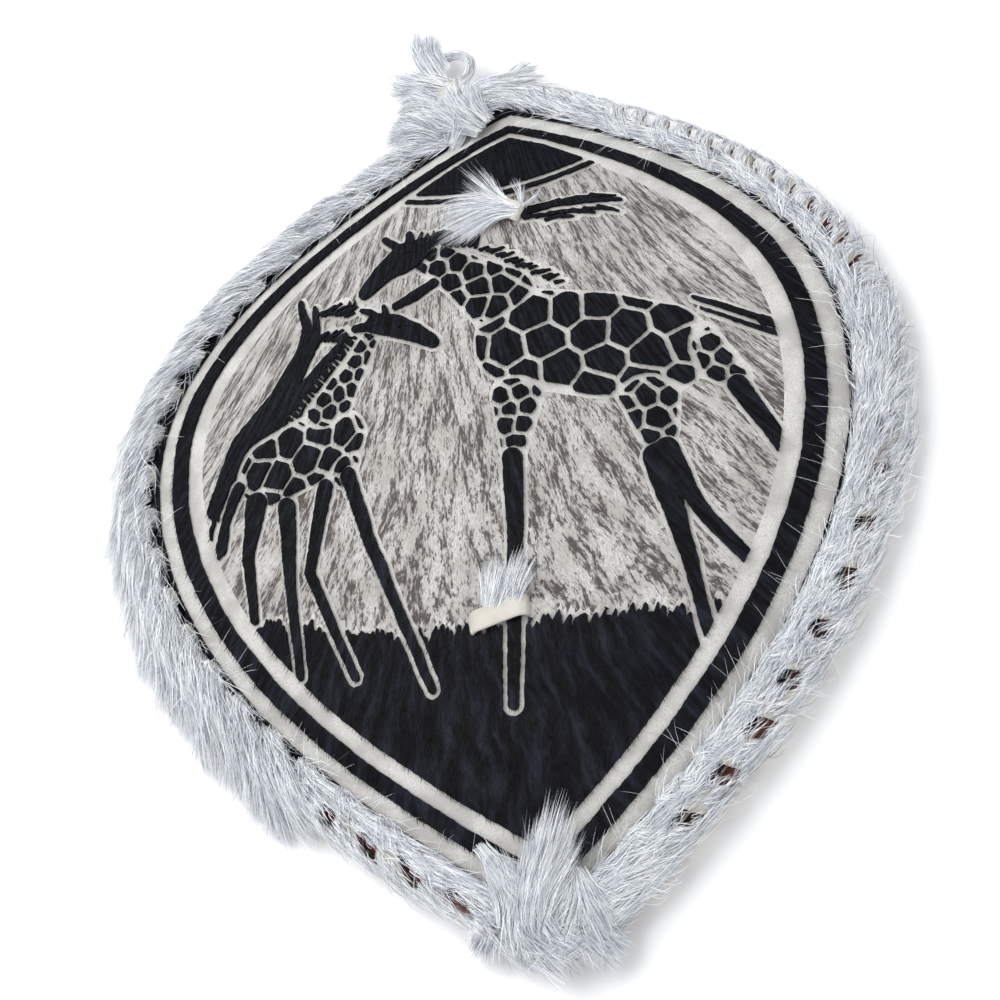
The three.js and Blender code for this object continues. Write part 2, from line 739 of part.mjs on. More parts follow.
function gripPlaces() {
  const onFace = (x, y, extra) => hairHeight(x, y) + CLEAR + GRIP.thickness / 2 + extra;
  const inHide = (x, y) => skinHeight(x, y) - HIDE.thickness / 2;
  const behind = (x, y, drop) => skinHeight(x, y) - HIDE.thickness - drop;
  const place = (x, y, z, angle) => ({ centre: new THREE.Vector3(x, y, z), angle });
  const { x, y, angle } = UPPER_SLIT;
  return [
    place(x - 26, y + 15, onFace(x - 26, y + 15, 0), angle),
    place(x - 12, y + 7, onFace(x - 12, y + 7, 0), angle),
    place(x - 3, y + 1.7, onFace(x - 3, y + 1.7, 0.2), angle),
    place(x + 0.3, y - 0.2, inHide(x, y) + 4, angle),
    place(x, y, inHide(x, y), angle),
    place(x - 1, y - 3, behind(x, y, 7), angle * 0.9),
    place(22, 138, behind(22, 138, 14), angle * 0.6),
    place(15, 95, behind(15, 95, 25), 0),
    place(6, 40, behind(6, 40, GRIP.slack + 4), 0),
    place(-4, -15, behind(-4, -15, GRIP.slack), 0),
    place(-14, -60, behind(-14, -60, 20), -0.4),
    place(-23, -90, behind(-23, -90, 12), -1.1),
    place(STAPLE.left - 1.5, STAPLE.leftY, behind(STAPLE.left, STAPLE.leftY, 5), -1.5),
    place(STAPLE.left, STAPLE.leftY, inHide(STAPLE.left, STAPLE.leftY), -Math.PI / 2),
    place(STAPLE.left + 0.5, STAPLE.leftY, inHide(STAPLE.left, STAPLE.leftY) + 4.5, -Math.PI / 2),
    place(STAPLE.left + 4, STAPLE.leftY + 0.5, onFace(STAPLE.left, STAPLE.leftY, 1), -Math.PI / 2),
    place(STAPLE.right - 4, STAPLE.rightY - 0.5, onFace(STAPLE.right, STAPLE.rightY, 1), -Math.PI / 2),
    place(STAPLE.right - 0.5, STAPLE.rightY, inHide(STAPLE.right, STAPLE.rightY) + 4.5, -Math.PI / 2),
    place(STAPLE.right, STAPLE.rightY, inHide(STAPLE.right, STAPLE.rightY), -Math.PI / 2),
    place(STAPLE.right + 0.5, STAPLE.rightY, behind(STAPLE.right, STAPLE.rightY, 14), -Math.PI / 2),
  ];
}

// The strap's width direction is level and turned by each place's angle.
function gripStrap() {
  const places = gripPlaces();
  const stations = places.map(({ centre, angle }, i) => {
    const before = places[Math.max(0, i - 1)].centre;
    const after = places[Math.min(places.length - 1, i + 1)].centre;
    const across = new THREE.Vector3(Math.cos(angle), Math.sin(angle), 0);
    const run = after.clone().sub(before).normalize();
    const face = new THREE.Vector3().crossVectors(run, across).normalize();
    return [[-1, -1], [1, -1], [1, 1], [-1, 1]].map(([a, b]) => centre.clone()
      .addScaledVector(across, a * GRIP.width / 2)
      .addScaledVector(face, b * GRIP.thickness / 2));
  });
  return toSolid(tubeGeometry(stations));
}

// Locks of white hair spread from the strap's two ends over the face. [x, y, width]
const GRIP_TUFTS = [
  [[8, 166, 12], [-14, 180, 14], [-40, 200, 5]],
  [[6, 163, 12], [-18, 166, 16], [-50, 166, 6]],
  [[-8, -100, 20], [0, -84, 18], [14, -66, 6]],
];

function gripTufts() {
  return GRIP_TUFTS.map((tuft) => levelBand(
    tuft.map(([x, y, width]) => [x, y, hairHeight(x, y) + CLEAR + 2.2, width]),
    3,
  ));
}

function handGrip() {
  return toGeometry(joined([gripStrap(), ...gripTufts()]));
}

// ---- Assembly ---------------------------------------------------------------------------------------

function part(name, geometry, color, roughness) {
  const material = new THREE.MeshStandardMaterial({ color, roughness, metalness: 0 });
  const mesh = new THREE.Mesh(geometry, material);
  mesh.name = name;
  return mesh;
}

const shield = new THREE.Group();
shield.add(
  part('hide_panel', hidePanel(), 0x8d857b, 0.75),
  part('hoop_left', rimRod('left'), 0x6e3c32, 0.6),
  part('hoop_right', rimRod('right'), 0x6e3c32, 0.6),
  part('binding_left', binding('left'), 0xd7dee8, 0.85),
  part('binding_right', binding('right'), 0xd7dee8, 0.85),
  part('hand_grip', handGrip(), 0xe1ded2, 0.8),
);

// The origin is under the middle of the whole shield, on the surface that it lies on.
const bounds = new THREE.Box3().setFromObject(shield);
const middle = bounds.getCenter(new THREE.Vector3());
shield.position.set(-middle.x, -middle.y, -bounds.min.z);

export default shield;
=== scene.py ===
"""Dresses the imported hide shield: shaved cowhide face, bark rods, goatskin strips with long fur, knots and grip."""

import logging
import math
from dataclasses import dataclass, field
from enum import Enum
from typing import Sequence

import bpy
import numpy as np
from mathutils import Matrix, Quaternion, Vector
from mathutils.geometry import delaunay_2d_cdt


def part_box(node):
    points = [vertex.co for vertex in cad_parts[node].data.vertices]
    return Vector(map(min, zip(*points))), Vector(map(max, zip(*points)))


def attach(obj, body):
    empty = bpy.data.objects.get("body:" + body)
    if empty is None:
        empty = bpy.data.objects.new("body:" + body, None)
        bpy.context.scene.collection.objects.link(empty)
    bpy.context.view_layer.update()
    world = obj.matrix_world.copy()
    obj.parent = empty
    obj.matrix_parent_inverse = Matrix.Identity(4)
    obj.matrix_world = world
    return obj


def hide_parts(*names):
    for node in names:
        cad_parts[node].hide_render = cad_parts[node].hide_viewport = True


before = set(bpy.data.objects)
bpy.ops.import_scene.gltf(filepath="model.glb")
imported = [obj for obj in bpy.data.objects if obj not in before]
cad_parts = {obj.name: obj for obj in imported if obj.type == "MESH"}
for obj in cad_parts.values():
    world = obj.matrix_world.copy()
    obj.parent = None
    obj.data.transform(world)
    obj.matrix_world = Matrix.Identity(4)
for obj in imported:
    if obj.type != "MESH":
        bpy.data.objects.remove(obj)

LOG = logging.getLogger("hide_shield")
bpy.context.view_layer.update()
MILLIMETRE = 0.001
ROOT = "root"
UP = np.array([0, 0, 1.0])
TABLE = 64  # cells on a side of the noise table
FINE = 1200  # samples from one tip to the other
LEVEL_STEP = 0.005  # for the slope of the outline
TAPER = np.array([0.8, 1.0, 0.9, 0.6, 0.08])  # width of a long hair from root to tip
TUFT_TAPER = np.array([0.7, 1.0, 0.9, 0.6, 0.08])
STRAY_TAPER = np.array([1, 1, 1, 0.9, 0.8, 0.6, 0.2])

Array = np.ndarray
Colour = tuple[float, float, float, float]
Mesh = tuple[Array, Array, Array]
Limb = Sequence[tuple[float, float, float]]
Spine = Sequence[tuple[float, float, float, float]]


class Side(Enum):
    """The two halves of the rim, each followed anticlockwise."""

    LEFT = -1
    RIGHT = 1


# ---- Numbers ----


def smooth_noise(x: Array, y: Array, size: float, seed: int) -> Array:
    """Gives smooth random values between -1 and 1 over a plane.

    Args:
        x: First coordinate.
        y: Second coordinate, of the same shape.
        size: Distance over which the value changes.
        seed: Picks the pattern.

    Returns:
        The values, in the shape of x.
    """
    table = np.random.default_rng(seed).uniform(-1.0, 1.0, (TABLE, TABLE))
    u, v = x / size, y / size
    i, j = np.floor(u).astype(int), np.floor(v).astype(int)
    s, t = u - i, v - j
    s, t = s * s * (3 - 2 * s), t * t * (3 - 2 * t)
    low, high = (table[i % TABLE, k % TABLE] * (1 - s) + table[(i + 1) % TABLE, k % TABLE] * s for k in (j, j + 1))
    return low * (1 - t) + high * t


def unit(vectors: Array) -> Array:
    """Returns vectors scaled to a length of one along the last axis."""
    return vectors / np.maximum(np.linalg.norm(vectors, axis=-1, keepdims=True), 1e-12)


def running(line: Array) -> Array:
    """Returns the length of a line up to each of its points."""
    return np.concatenate([[0], np.cumsum(np.linalg.norm(np.diff(line, axis=0), axis=1))])


def through(keys: Array, count: int) -> Array:
    """Runs a smooth curve through rows of key values.

    Args:
        keys: One row for each key.
        count: Steps between one key and the next.

    Returns:
        The rows along the curve.
    """
    rows = np.asarray(keys, float)
    ends = np.vstack([2 * rows[0] - rows[1], rows, 2 * rows[-1] - rows[-2]])
    t = (np.arange(count) / count)[:, None]
    spans = [
        0.5 * (2 * b + (c - a) * t + (2 * a - 5 * b + 4 * c - d) * t**2 + (3 * b - a - 3 * c + d) * t**3)
        for a, b, c, d in zip(ends, ends[1:], ends[2:], ends[3:])
    ]
    return np.vstack([*spans, rows[-1:]])


def lifted(flat: Array, height: Array) -> Array:
    """Returns points of x and y, raised to heights."""
    return np.concatenate([flat[..., :2], height[..., None]], axis=-1)


def upward(rng: np.random.Generator, scatter: float, count: int) -> Array:
    """Returns directions scattered about straight up."""
    return unit(rng.normal(0, scatter, (count, 3)) + UP)


def rounded(count: int, square_across: float, square_deep: float) -> tuple[Array, Array]:
    """Gives a round-cornered section of half width and half depth 1.

    Args:
        count: Points round it.
        square_across: Power of its coordinate across; the smaller, the squarer.
        square_deep: The same for its depth.

    Returns:
        The coordinates across and deep.
    """
    turn = 2 * np.pi * np.arange(count) / count
    across, deep = np.cos(turn), np.sin(turn)
    return np.sign(across) * np.abs(across) ** square_across, np.sign(deep) * np.abs(deep) ** square_deep


# ---- The shield's form ----


@dataclass(frozen=True)
class ShieldForm:
    """The almond outline, its offsets and the dome, in the part's own millimetres."""

    half_left: float = 226.0
    half_right: float = 192.0
    above: float = 205.0
    below: float = 284.0
    waist: float = 30.0
    power_above: float = 2.3
    power_below: float = 1.95
    lean: float = 18.0
    narrowing: float = 0.5
    rise: float = 40.0
    edge: float = 30.0
    underside: float = 17.0
    thickness: float = 3.0
    pile: float = 2.2
    stripe: float = 12.0

    def origin(self) -> Array:
        """Reads the part's own origin off the hide panel's box.

        Returns:
            The origin in the row frame, in millimetres.
        """
        low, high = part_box("hide_panel")
        return np.array([
            (low[0] + high[0]) / 2 / MILLIMETRE - (self.half_right - self.half_left) / 2,
            (low[1] + high[1]) / 2 / MILLIMETRE - (self.waist + (self.above - self.below) / 2),
            low[2] / MILLIMETRE - self.underside,
        ])

    def reach(self, level: Array, offset: float) -> Array:
        """Returns the outline's height above or below the waist, at an offset."""
        return np.where(level >= 0, self.above, self.below) + offset

    def fullness(self, level: Array) -> Array:
        """Returns the share of the half width left at a level."""
        return 1 - np.abs(level) ** np.where(level >= 0, self.power_above, self.power_below)

    def half(self, sign: Array, offset: float) -> Array:
        """Returns the half width on one side, at an offset."""
        return np.where(sign < 0, self.half_left, self.half_right) + offset

    def leaning(self, level: Array) -> Array:
        """Returns how far the outline's middle line stands to the right at a level."""
        return self.lean * np.maximum(0, level) ** 2

    def inset(self, level: Array, offset: float) -> Array:
        """Returns an offset, shrunk towards the top tip where it leads into the picture."""
        return offset * (1 - self.narrowing * np.maximum(0, level) ** 3) if offset < 0 else offset

    def outline(self, sign: int, level: Array, offset: float) -> Array:
        """Gives points of the outline.

        Args:
            sign: -1 for the left side, 1 for the right.
            level: 1 at the top tip to -1 at the bottom tip.
            offset: How far out of the black stripe's outer edge.

        Returns:
            Rows of x and y.
        """
        level = np.asarray(level, float)
        moved = self.inset(level, offset)
        x = self.leaning(level) + sign * self.half(sign, moved) * self.fullness(level)
        return np.stack([x, self.waist + self.reach(level, moved) * level], axis=-1)

    def level_at(self, y: Array, offset: float) -> Array:
        """Returns the level of a height, at an offset."""
        return (y - self.waist) / self.reach(y - self.waist, offset)

    def inside(self, x: Array, y: Array, offset: float) -> Array:
        """Gives the signed distance to the outline at an offset, below zero inside it.

        Args:
            x: First coordinate.
            y: Second coordinate.
            offset: How far out of the black stripe's outer edge the line lies.

        Returns:
            Distances in the shape of x.
        """
        edge = self.inset(np.clip(self.level_at(y, offset), -1, 1), offset)
        reached = self.level_at(y, edge)
        level = np.clip(reached, -1, 1)
        across = x - self.leaning(level)
        half = self.half(across, edge)
        slope = (self.fullness(level + LEVEL_STEP) - self.fullness(level - LEVEL_STEP)) / (2 * LEVEL_STEP)
        steep = slope * half / self.reach(level, edge)
        beyond = np.maximum(np.abs(reached) - 1, 0) * self.reach(level, edge)
        return (np.abs(across) - half * self.fullness(level)) / np.hypot(1, steep) + beyond

    def skin(self, x: Array, y: Array) -> Array:
        """Gives the height of the shaved face, domed over its rim.

        Args:
            x: First coordinate.
            y: Second coordinate.

        Returns:
            Heights in the shape of x.
        """
        level = np.clip(self.level_at(y, self.edge), -1, 1)
        full = np.maximum(self.fullness(level), 1e-5)
        half = (self.half_left + self.half_right) / 2 + self.edge
        middle = (self.half_right - self.half_left) / 2 * full + self.leaning(level)
        dome = self.rise * np.maximum(0, full - (x - middle) ** 2 / (half * half * full))
        return self.underside + self.thickness + dome

    def hair_top(self, flat: Array) -> Array:
        """Returns the height of the standing hair over points of x and y."""
        return self.skin(flat[..., 0], flat[..., 1]) + self.pile

    def ring(self, offset: float, count: int) -> Array:
        """Gives the closed outline at an offset, anticlockwise from the top tip.

        Args:
            offset: How far out of the black stripe's outer edge.
            count: Points on each side.

        Returns:
            Rows of x and y.
        """
        fine = np.cos(np.pi * np.arange(FINE + 1) / FINE)
        along = running(self.outline(-1, fine, 0))
        level = np.interp(np.linspace(0, along[-1], count + 1), along, fine)
        return np.vstack([self.outline(-1, level, offset), self.outline(1, level[1:-1][::-1], offset)])

    def lattice(self, step: float, before: float, after: float) -> tuple[Array, Array]:
        """Gives the lines of a grid over the hide.

        Args:
            step: Distance between lines.
            before: Margin at the left and below.
            after: Margin at the right and above.

        Returns:
            The x and the y of the lines.
        """
        low, high = (self.outline(1, level, self.edge)[1] for level in (-1.0, 1.0))
        xs = np.arange(-self.half_left - self.edge - before, self.half_right + self.edge + after, step)
        return xs, np.arange(low - before, high + after, step)


# ---- Meshes ----


@dataclass
class MeshData:
    """Points in millimetres and faces of three or four corners, gathered before they become an object."""

    points: list[Array] = field(default_factory=list)
    quads: list[Array] = field(default_factory=list)
    triangles: list[Array] = field(default_factory=list)
    count: int = 0

    def add(self, points: Array, quads: Array | tuple[()] = (), triangles: Array | tuple[()] = ()) -> None:
        """Adds one patch of mesh.

        Args:
            points: Rows of x, y, z in the part's own millimetres.
            quads: Rows of four indices into points.
            triangles: Rows of three indices into points.
        """
        self.points.append(points)
        for faces, more in ((self.quads, quads), (self.triangles, triangles)):
            if len(more):
                faces.append(more + self.count)
        self.count += len(points)

    def hairs(self, paths: Array, widths: Array, facing: Array) -> None:
        """Adds tapering hairs, each a narrow ribbon that ends in a point.

        Args:
            paths: Array of hairs, points along each, and coordinates.
            widths: Width of each hair at each of its points.
            facing: The way that each hair's flat side faces, one vector a hair.
        """
        count, steps = paths.shape[:2]
        run = np.gradient(paths, axis=1)
        across = unit(np.cross(run, facing[:, None, :])) * widths[..., None] * 0.5
        sides = np.stack([paths[:, :-1] - across[:, :-1], paths[:, :-1] + across[:, :-1]], axis=2)
        points = np.concatenate([sides.reshape(count, -1, 3), paths[:, -1:]], axis=1)
        size = 2 * steps - 1
        corner = (np.arange(count) * size)[:, None] + np.arange(steps - 2)[None, :] * 2
        quads = np.stack([corner, corner + 1, corner + 3, corner + 2], axis=-1).reshape(-1, 4)
        last = np.arange(1, count + 1) * size
        self.add(points.reshape(-1, 3), quads, np.stack([last - 3, last - 2, last - 1], axis=-1))

    def build(self, name: str, material: bpy.types.Material, form: ShieldForm) -> bpy.types.Object:
        """Makes the object in the row frame.

        Args:
            name: The piece's name.
            material: Its finish.
            form: Gives the part's own origin.

        Returns:
            The new object, riding on the root body.
        """
        points = (np.vstack(self.points) + form.origin()) * MILLIMETRE
        faces = self.quads + self.triangles
        corners = np.concatenate([group.ravel() for group in faces])
        totals = np.concatenate([np.full(len(group), group.shape[1]) for group in faces])
        mesh = bpy.data.meshes.new(name)
        mesh.vertices.add(len(points))
        mesh.vertices.foreach_set("co", points.astype(np.float32).ravel())
        mesh.loops.add(len(corners))
        mesh.loops.foreach_set("vertex_index", corners.astype(np.int32))
        mesh.polygons.add(len(totals))
        for label, values in (("loop_start", np.cumsum(totals) - totals), ("loop_total", totals)):
            mesh.polygons.foreach_set(label, values.astype(np.int32))
        mesh.polygons.foreach_set("use_smooth", np.ones(len(totals), bool))
        mesh.update(calc_edges=True)
        mesh.validate()
        mesh.materials.append(material)
        piece = bpy.data.objects.new(name, mesh)
        bpy.context.scene.collection.objects.link(piece)
        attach(piece, ROOT)
        return piece


def tube(rings: Array) -> Mesh:
    """Skins a run of closed rings.

    Args:
        rings: Array of stations, ring points and coordinates.

    Returns:
        Points, quads and the triangles of the flat ends.
    """
    stations, size = rings.shape[:2]
    index = np.arange(stations * size).reshape(stations, size)
    before, after = index[:-1], index[1:]
    quads = np.stack([before, np.roll(before, -1, axis=1), np.roll(after, -1, axis=1), after], axis=-1)
    fan = np.arange(1, size - 1)
    first = np.stack([np.zeros_like(fan), fan + 1, fan], axis=-1)
    return rings.reshape(-1, 3), quads.reshape(-1, 4), np.vstack([first, first[:, [0, 2, 1]] + index[-1, 0]])


def flat_band(keys: Spine, thickness: float = 4.0) -> Mesh:
    """Makes a soft-edged level band.

    Args:
        keys: Keys of x, y, z and half width.
        thickness: How thick it is.

    Returns:
        Points, quads and triangles.
    """
    run = through(np.array(keys), 6)
    way = unit(np.gradient(run[:, :2], axis=0))
    side = np.column_stack([-way[:, 1], way[:, 0], np.zeros(len(run))])
    across, deep = rounded(14, 0.5, 0.7)
    rings = run[:, None, :3] + side[:, None, :] * (across[None, :] * run[:, 3:])[..., None]
    return tube(rings + UP * (deep * thickness / 2)[None, :, None])


# ---- The picture ----


@dataclass(frozen=True)
class Comb:
    """A row of tapering strokes.

    Attributes:
        first: x and y of the first stroke's root.
        last: x and y of the last one's.
        count: How many strokes there are.
        stroke: x and y from a root to its tip.
        radius: Half width at the root.
        tip: Half width at the tip.
        spread: How unevenly the roots stand.
        turning: How much the strokes differ in their direction, in radians.
    """

    first: tuple[float, float]
    last: tuple[float, float]
    count: int
    stroke: tuple[float, float]
    radius: float
    tip: float = 0.35
    spread: float = 0.5
    turning: float = 0.16

    def chains(self) -> list[Limb]:
        """Draws the strokes, each with its own length and turn.

        Returns:
            Chains of two joints.
        """
        rng = np.random.default_rng(self.count)
        strokes = []
        for share in np.linspace(0, 1, self.count):
            x, y = np.array(self.first) * (1 - share) + np.array(self.last) * share + rng.normal(0, self.spread, 2)
            turn, size = rng.normal(0, self.turning), rng.uniform(0.7, 1.2)
            dx = (self.stroke[0] * math.cos(turn) - self.stroke[1] * math.sin(turn)) * size
            dy = (self.stroke[0] * math.sin(turn) + self.stroke[1] * math.cos(turn)) * size
            strokes.append(((x, y, self.radius), (x + dx, y + dy, self.tip)))
        return strokes


@dataclass(frozen=True)
class Figure:
    """A giraffe: patched limbs with the size of their patches, plain limbs, hair that stands off, shaved cuts."""

    coat: Sequence[tuple[float, Limb]]
    plain: Sequence[Limb]
    hairs: Sequence[Comb]
    cuts: Sequence[Comb]


TALL_GIRAFFE = Figure(
    coat=(
        (15, ((-36, 139, 11), (-14, 120, 15), (10, 96, 22))),
        (24, ((24, 66, 32), (70, 52, 34), (102, 44, 29))),
        (12, ((16, 30, 16), (11, -4, 8))),
        (14, ((92, 20, 19), (94, -6, 12))),
        (12, ((122, 42, 16), (141, 20, 9))),
    ),
    plain=(
        ((-79, 125, 5), (-66, 136, 8), (-52, 145, 10.5), (-40, 147, 8)),
        ((-54, 138, 7), (-46, 142, 8)),
        ((-54, 151, 3.2), (-60, 157, 2.6), (-66, 163, 2.2)),
        ((-48, 152, 3), (-48, 161, 2.4)),
        ((-38, 150, 3.4), (-28, 154, 3), (-20, 154, 1.2)),
        ((-59, 108, 2.5), (-45, 112, 3.6), (-32, 118, 3)),
        ((10, -10, 6), (8, -50, 4.8), (-5, -152, 3.2)),
        ((92, -24, 8), (102, -82, 4.5), (107, -130, 3.5)),
        ((98, -20, 7), (111, -56, 4.5), (136, -92, 4)),
        ((142, 14, 6), (164, -30, 4.5)),
        ((124, 74, 1.2), (140, 66, 1.8), (156, 57, 1.6), (172, 50, 2.6)),
        ((128, 66, 0.7), (142, 58, 1.0), (156, 50, 1.3), (168, 44, 1.8)),
    ),
    hairs=(
        Comb((-42, 153), (-4, 138), 11, (5, 9), 1.5),
        Comb((0, 135), (44, 100), 15, (7.5, 0.5), 1.1),
        Comb((158, 54), (172, 46), 6, (9, -7), 1.0),
    ),
    cuts=(Comb((-66, 132), (-60, 137), 2, (3, -3), 0.5), Comb((-52, 146), (-50, 146), 2, (3.5, 1.5), 0.7)),
)
CALF = Figure(
    coat=(
        (11, ((-76, 90, 6), (-92, 66, 10), (-108, 44, 15))),
        (19, ((-98, 28, 17), (-122, 24, 23), (-150, 18, 22))),
        (13, ((-96, 10, 10), (-96, 2, 8))),
    ),
    plain=(
        ((-34, 76, 4), (-46, 86, 6), (-60, 95, 7.5), (-72, 100, 6.5)),
        ((-70, 103, 2.5), (-76, 109, 2.2), (-82, 112, 1.2)),
        ((-64, 101, 2.4), (-66, 110, 1.6)),
        ((-76, 99, 3), (-86, 100, 2.4)),
        ((-94, 2, 5), (-84, -38, 4), (-52, -136, 2.6)),
        ((-110, -2, 5), (-124, -52, 3.4), (-100, -120, 2.6)),
        ((-138, -8, 6), (-138, -60, 3.4), (-137, -112, 2.6)),
        ((-160, 0, 7.5), (-168, -34, 4), (-166, -72, 2.8)),
        ((-173, 14, 4), (-184, -6, 3), (-188, -22, 4)),
    ),
    hairs=(Comb((-186, -16), (-190, -24), 5, (-3, -10), 1.0),),
    cuts=(Comb((-56, 92), (-52, 90), 2, (3, 1), 0.6),),
)


def limb_distance(x: Array, y: Array, joints: Limb) -> Array:
    """Gives the signed distance to a chain of tapering round-ended bars.

    Args:
        x: First coordinate.
        y: Second coordinate.
        joints: The chain's x, y and radius at each joint.

    Returns:
        Distances in the shape of x, below zero inside.
    """
    bars = []
    for (ax, ay, ar), (bx, by, br) in zip(joints, joints[1:]):
        dx, dy = bx - ax, by - ay
        share = np.clip(((x - ax) * dx + (y - ay) * dy) / (dx * dx + dy * dy), 0, 1)
        bars.append(np.hypot(x - ax - dx * share, y - ay - dy * share) - (ar + (br - ar) * share))
    return np.minimum.reduce(bars)


def limbs_distance(x: Array, y: Array, chains: Sequence[Limb]) -> Array:
    """Returns the signed distance to several chains."""
    return np.minimum.reduce([limb_distance(x, y, joints) for joints in chains])


def strokes_distance(x: Array, y: Array, combs: Sequence[Comb], reach: float = 6.0) -> Array:
    """Gives the signed distance to rows of strokes.

    Args:
        x: First coordinate.
        y: Second coordinate.
        combs: The rows.
        reach: How far off a stroke the distance is worked out; it is large beyond.

    Returns:
        Distances in the shape of x.
    """
    best = np.full(x.shape, 30.0)
    for chain in [chain for comb in combs for chain in comb.chains()]:
        (ax, ay, _), (bx, by, _) = chain
        near = np.abs(x - (ax + bx) / 2) < abs(bx - ax) / 2 + reach
        near &= np.abs(y - (ay + by) / 2) < abs(by - ay) / 2 + reach
        best[near] = np.minimum(best[near], limb_distance(x[near], y[near], chain))
    return best


def scatter(i: Array, j: Array, k: int) -> Array:
    """Returns a fixed random number between -0.5 and 0.5 for each place on a lattice."""
    wave = np.sin(i * 12.9898 + j * 78.233 + k * 37.719) * 43758.5453
    return wave - np.floor(wave) - 0.5


def patch_edge(x: Array, y: Array, size: float, squash: float = 0.87) -> Array:
    """Gives the distance to the nearest line between two patches of a giraffe's coat.

    Args:
        x: First coordinate, one-dimensional.
        y: Second coordinate.
        size: Distance between one patch and the next.
        squash: Distance between two rows of patches, as a share of size.

    Returns:
        Distances in the shape of x.
    """
    row, column = np.floor(y / (size * squash) + 0.5), np.floor(x / size + 0.5)
    near = range(-2, 3)
    places = [(column + di, row + dj) for dj in near for di in near]
    seed_x = np.stack([(i + 0.5 * np.abs(np.fmod(j, 2)) + 0.5 * scatter(i, j, 1)) * size for i, j in places])
    seed_y = np.stack([(j + 0.5 * scatter(i, j, 2)) * size * squash for i, j in places])
    away = np.hypot(x - seed_x, y - seed_y)
    own = np.argmin(away, axis=0), np.arange(len(x))
    apart = np.hypot(seed_x - seed_x[own], seed_y - seed_y[own])
    edge = (away**2 - away[own] ** 2) / (2 * np.maximum(apart, 1e-9))
    edge[own] = 1e9
    return edge.min(axis=0)


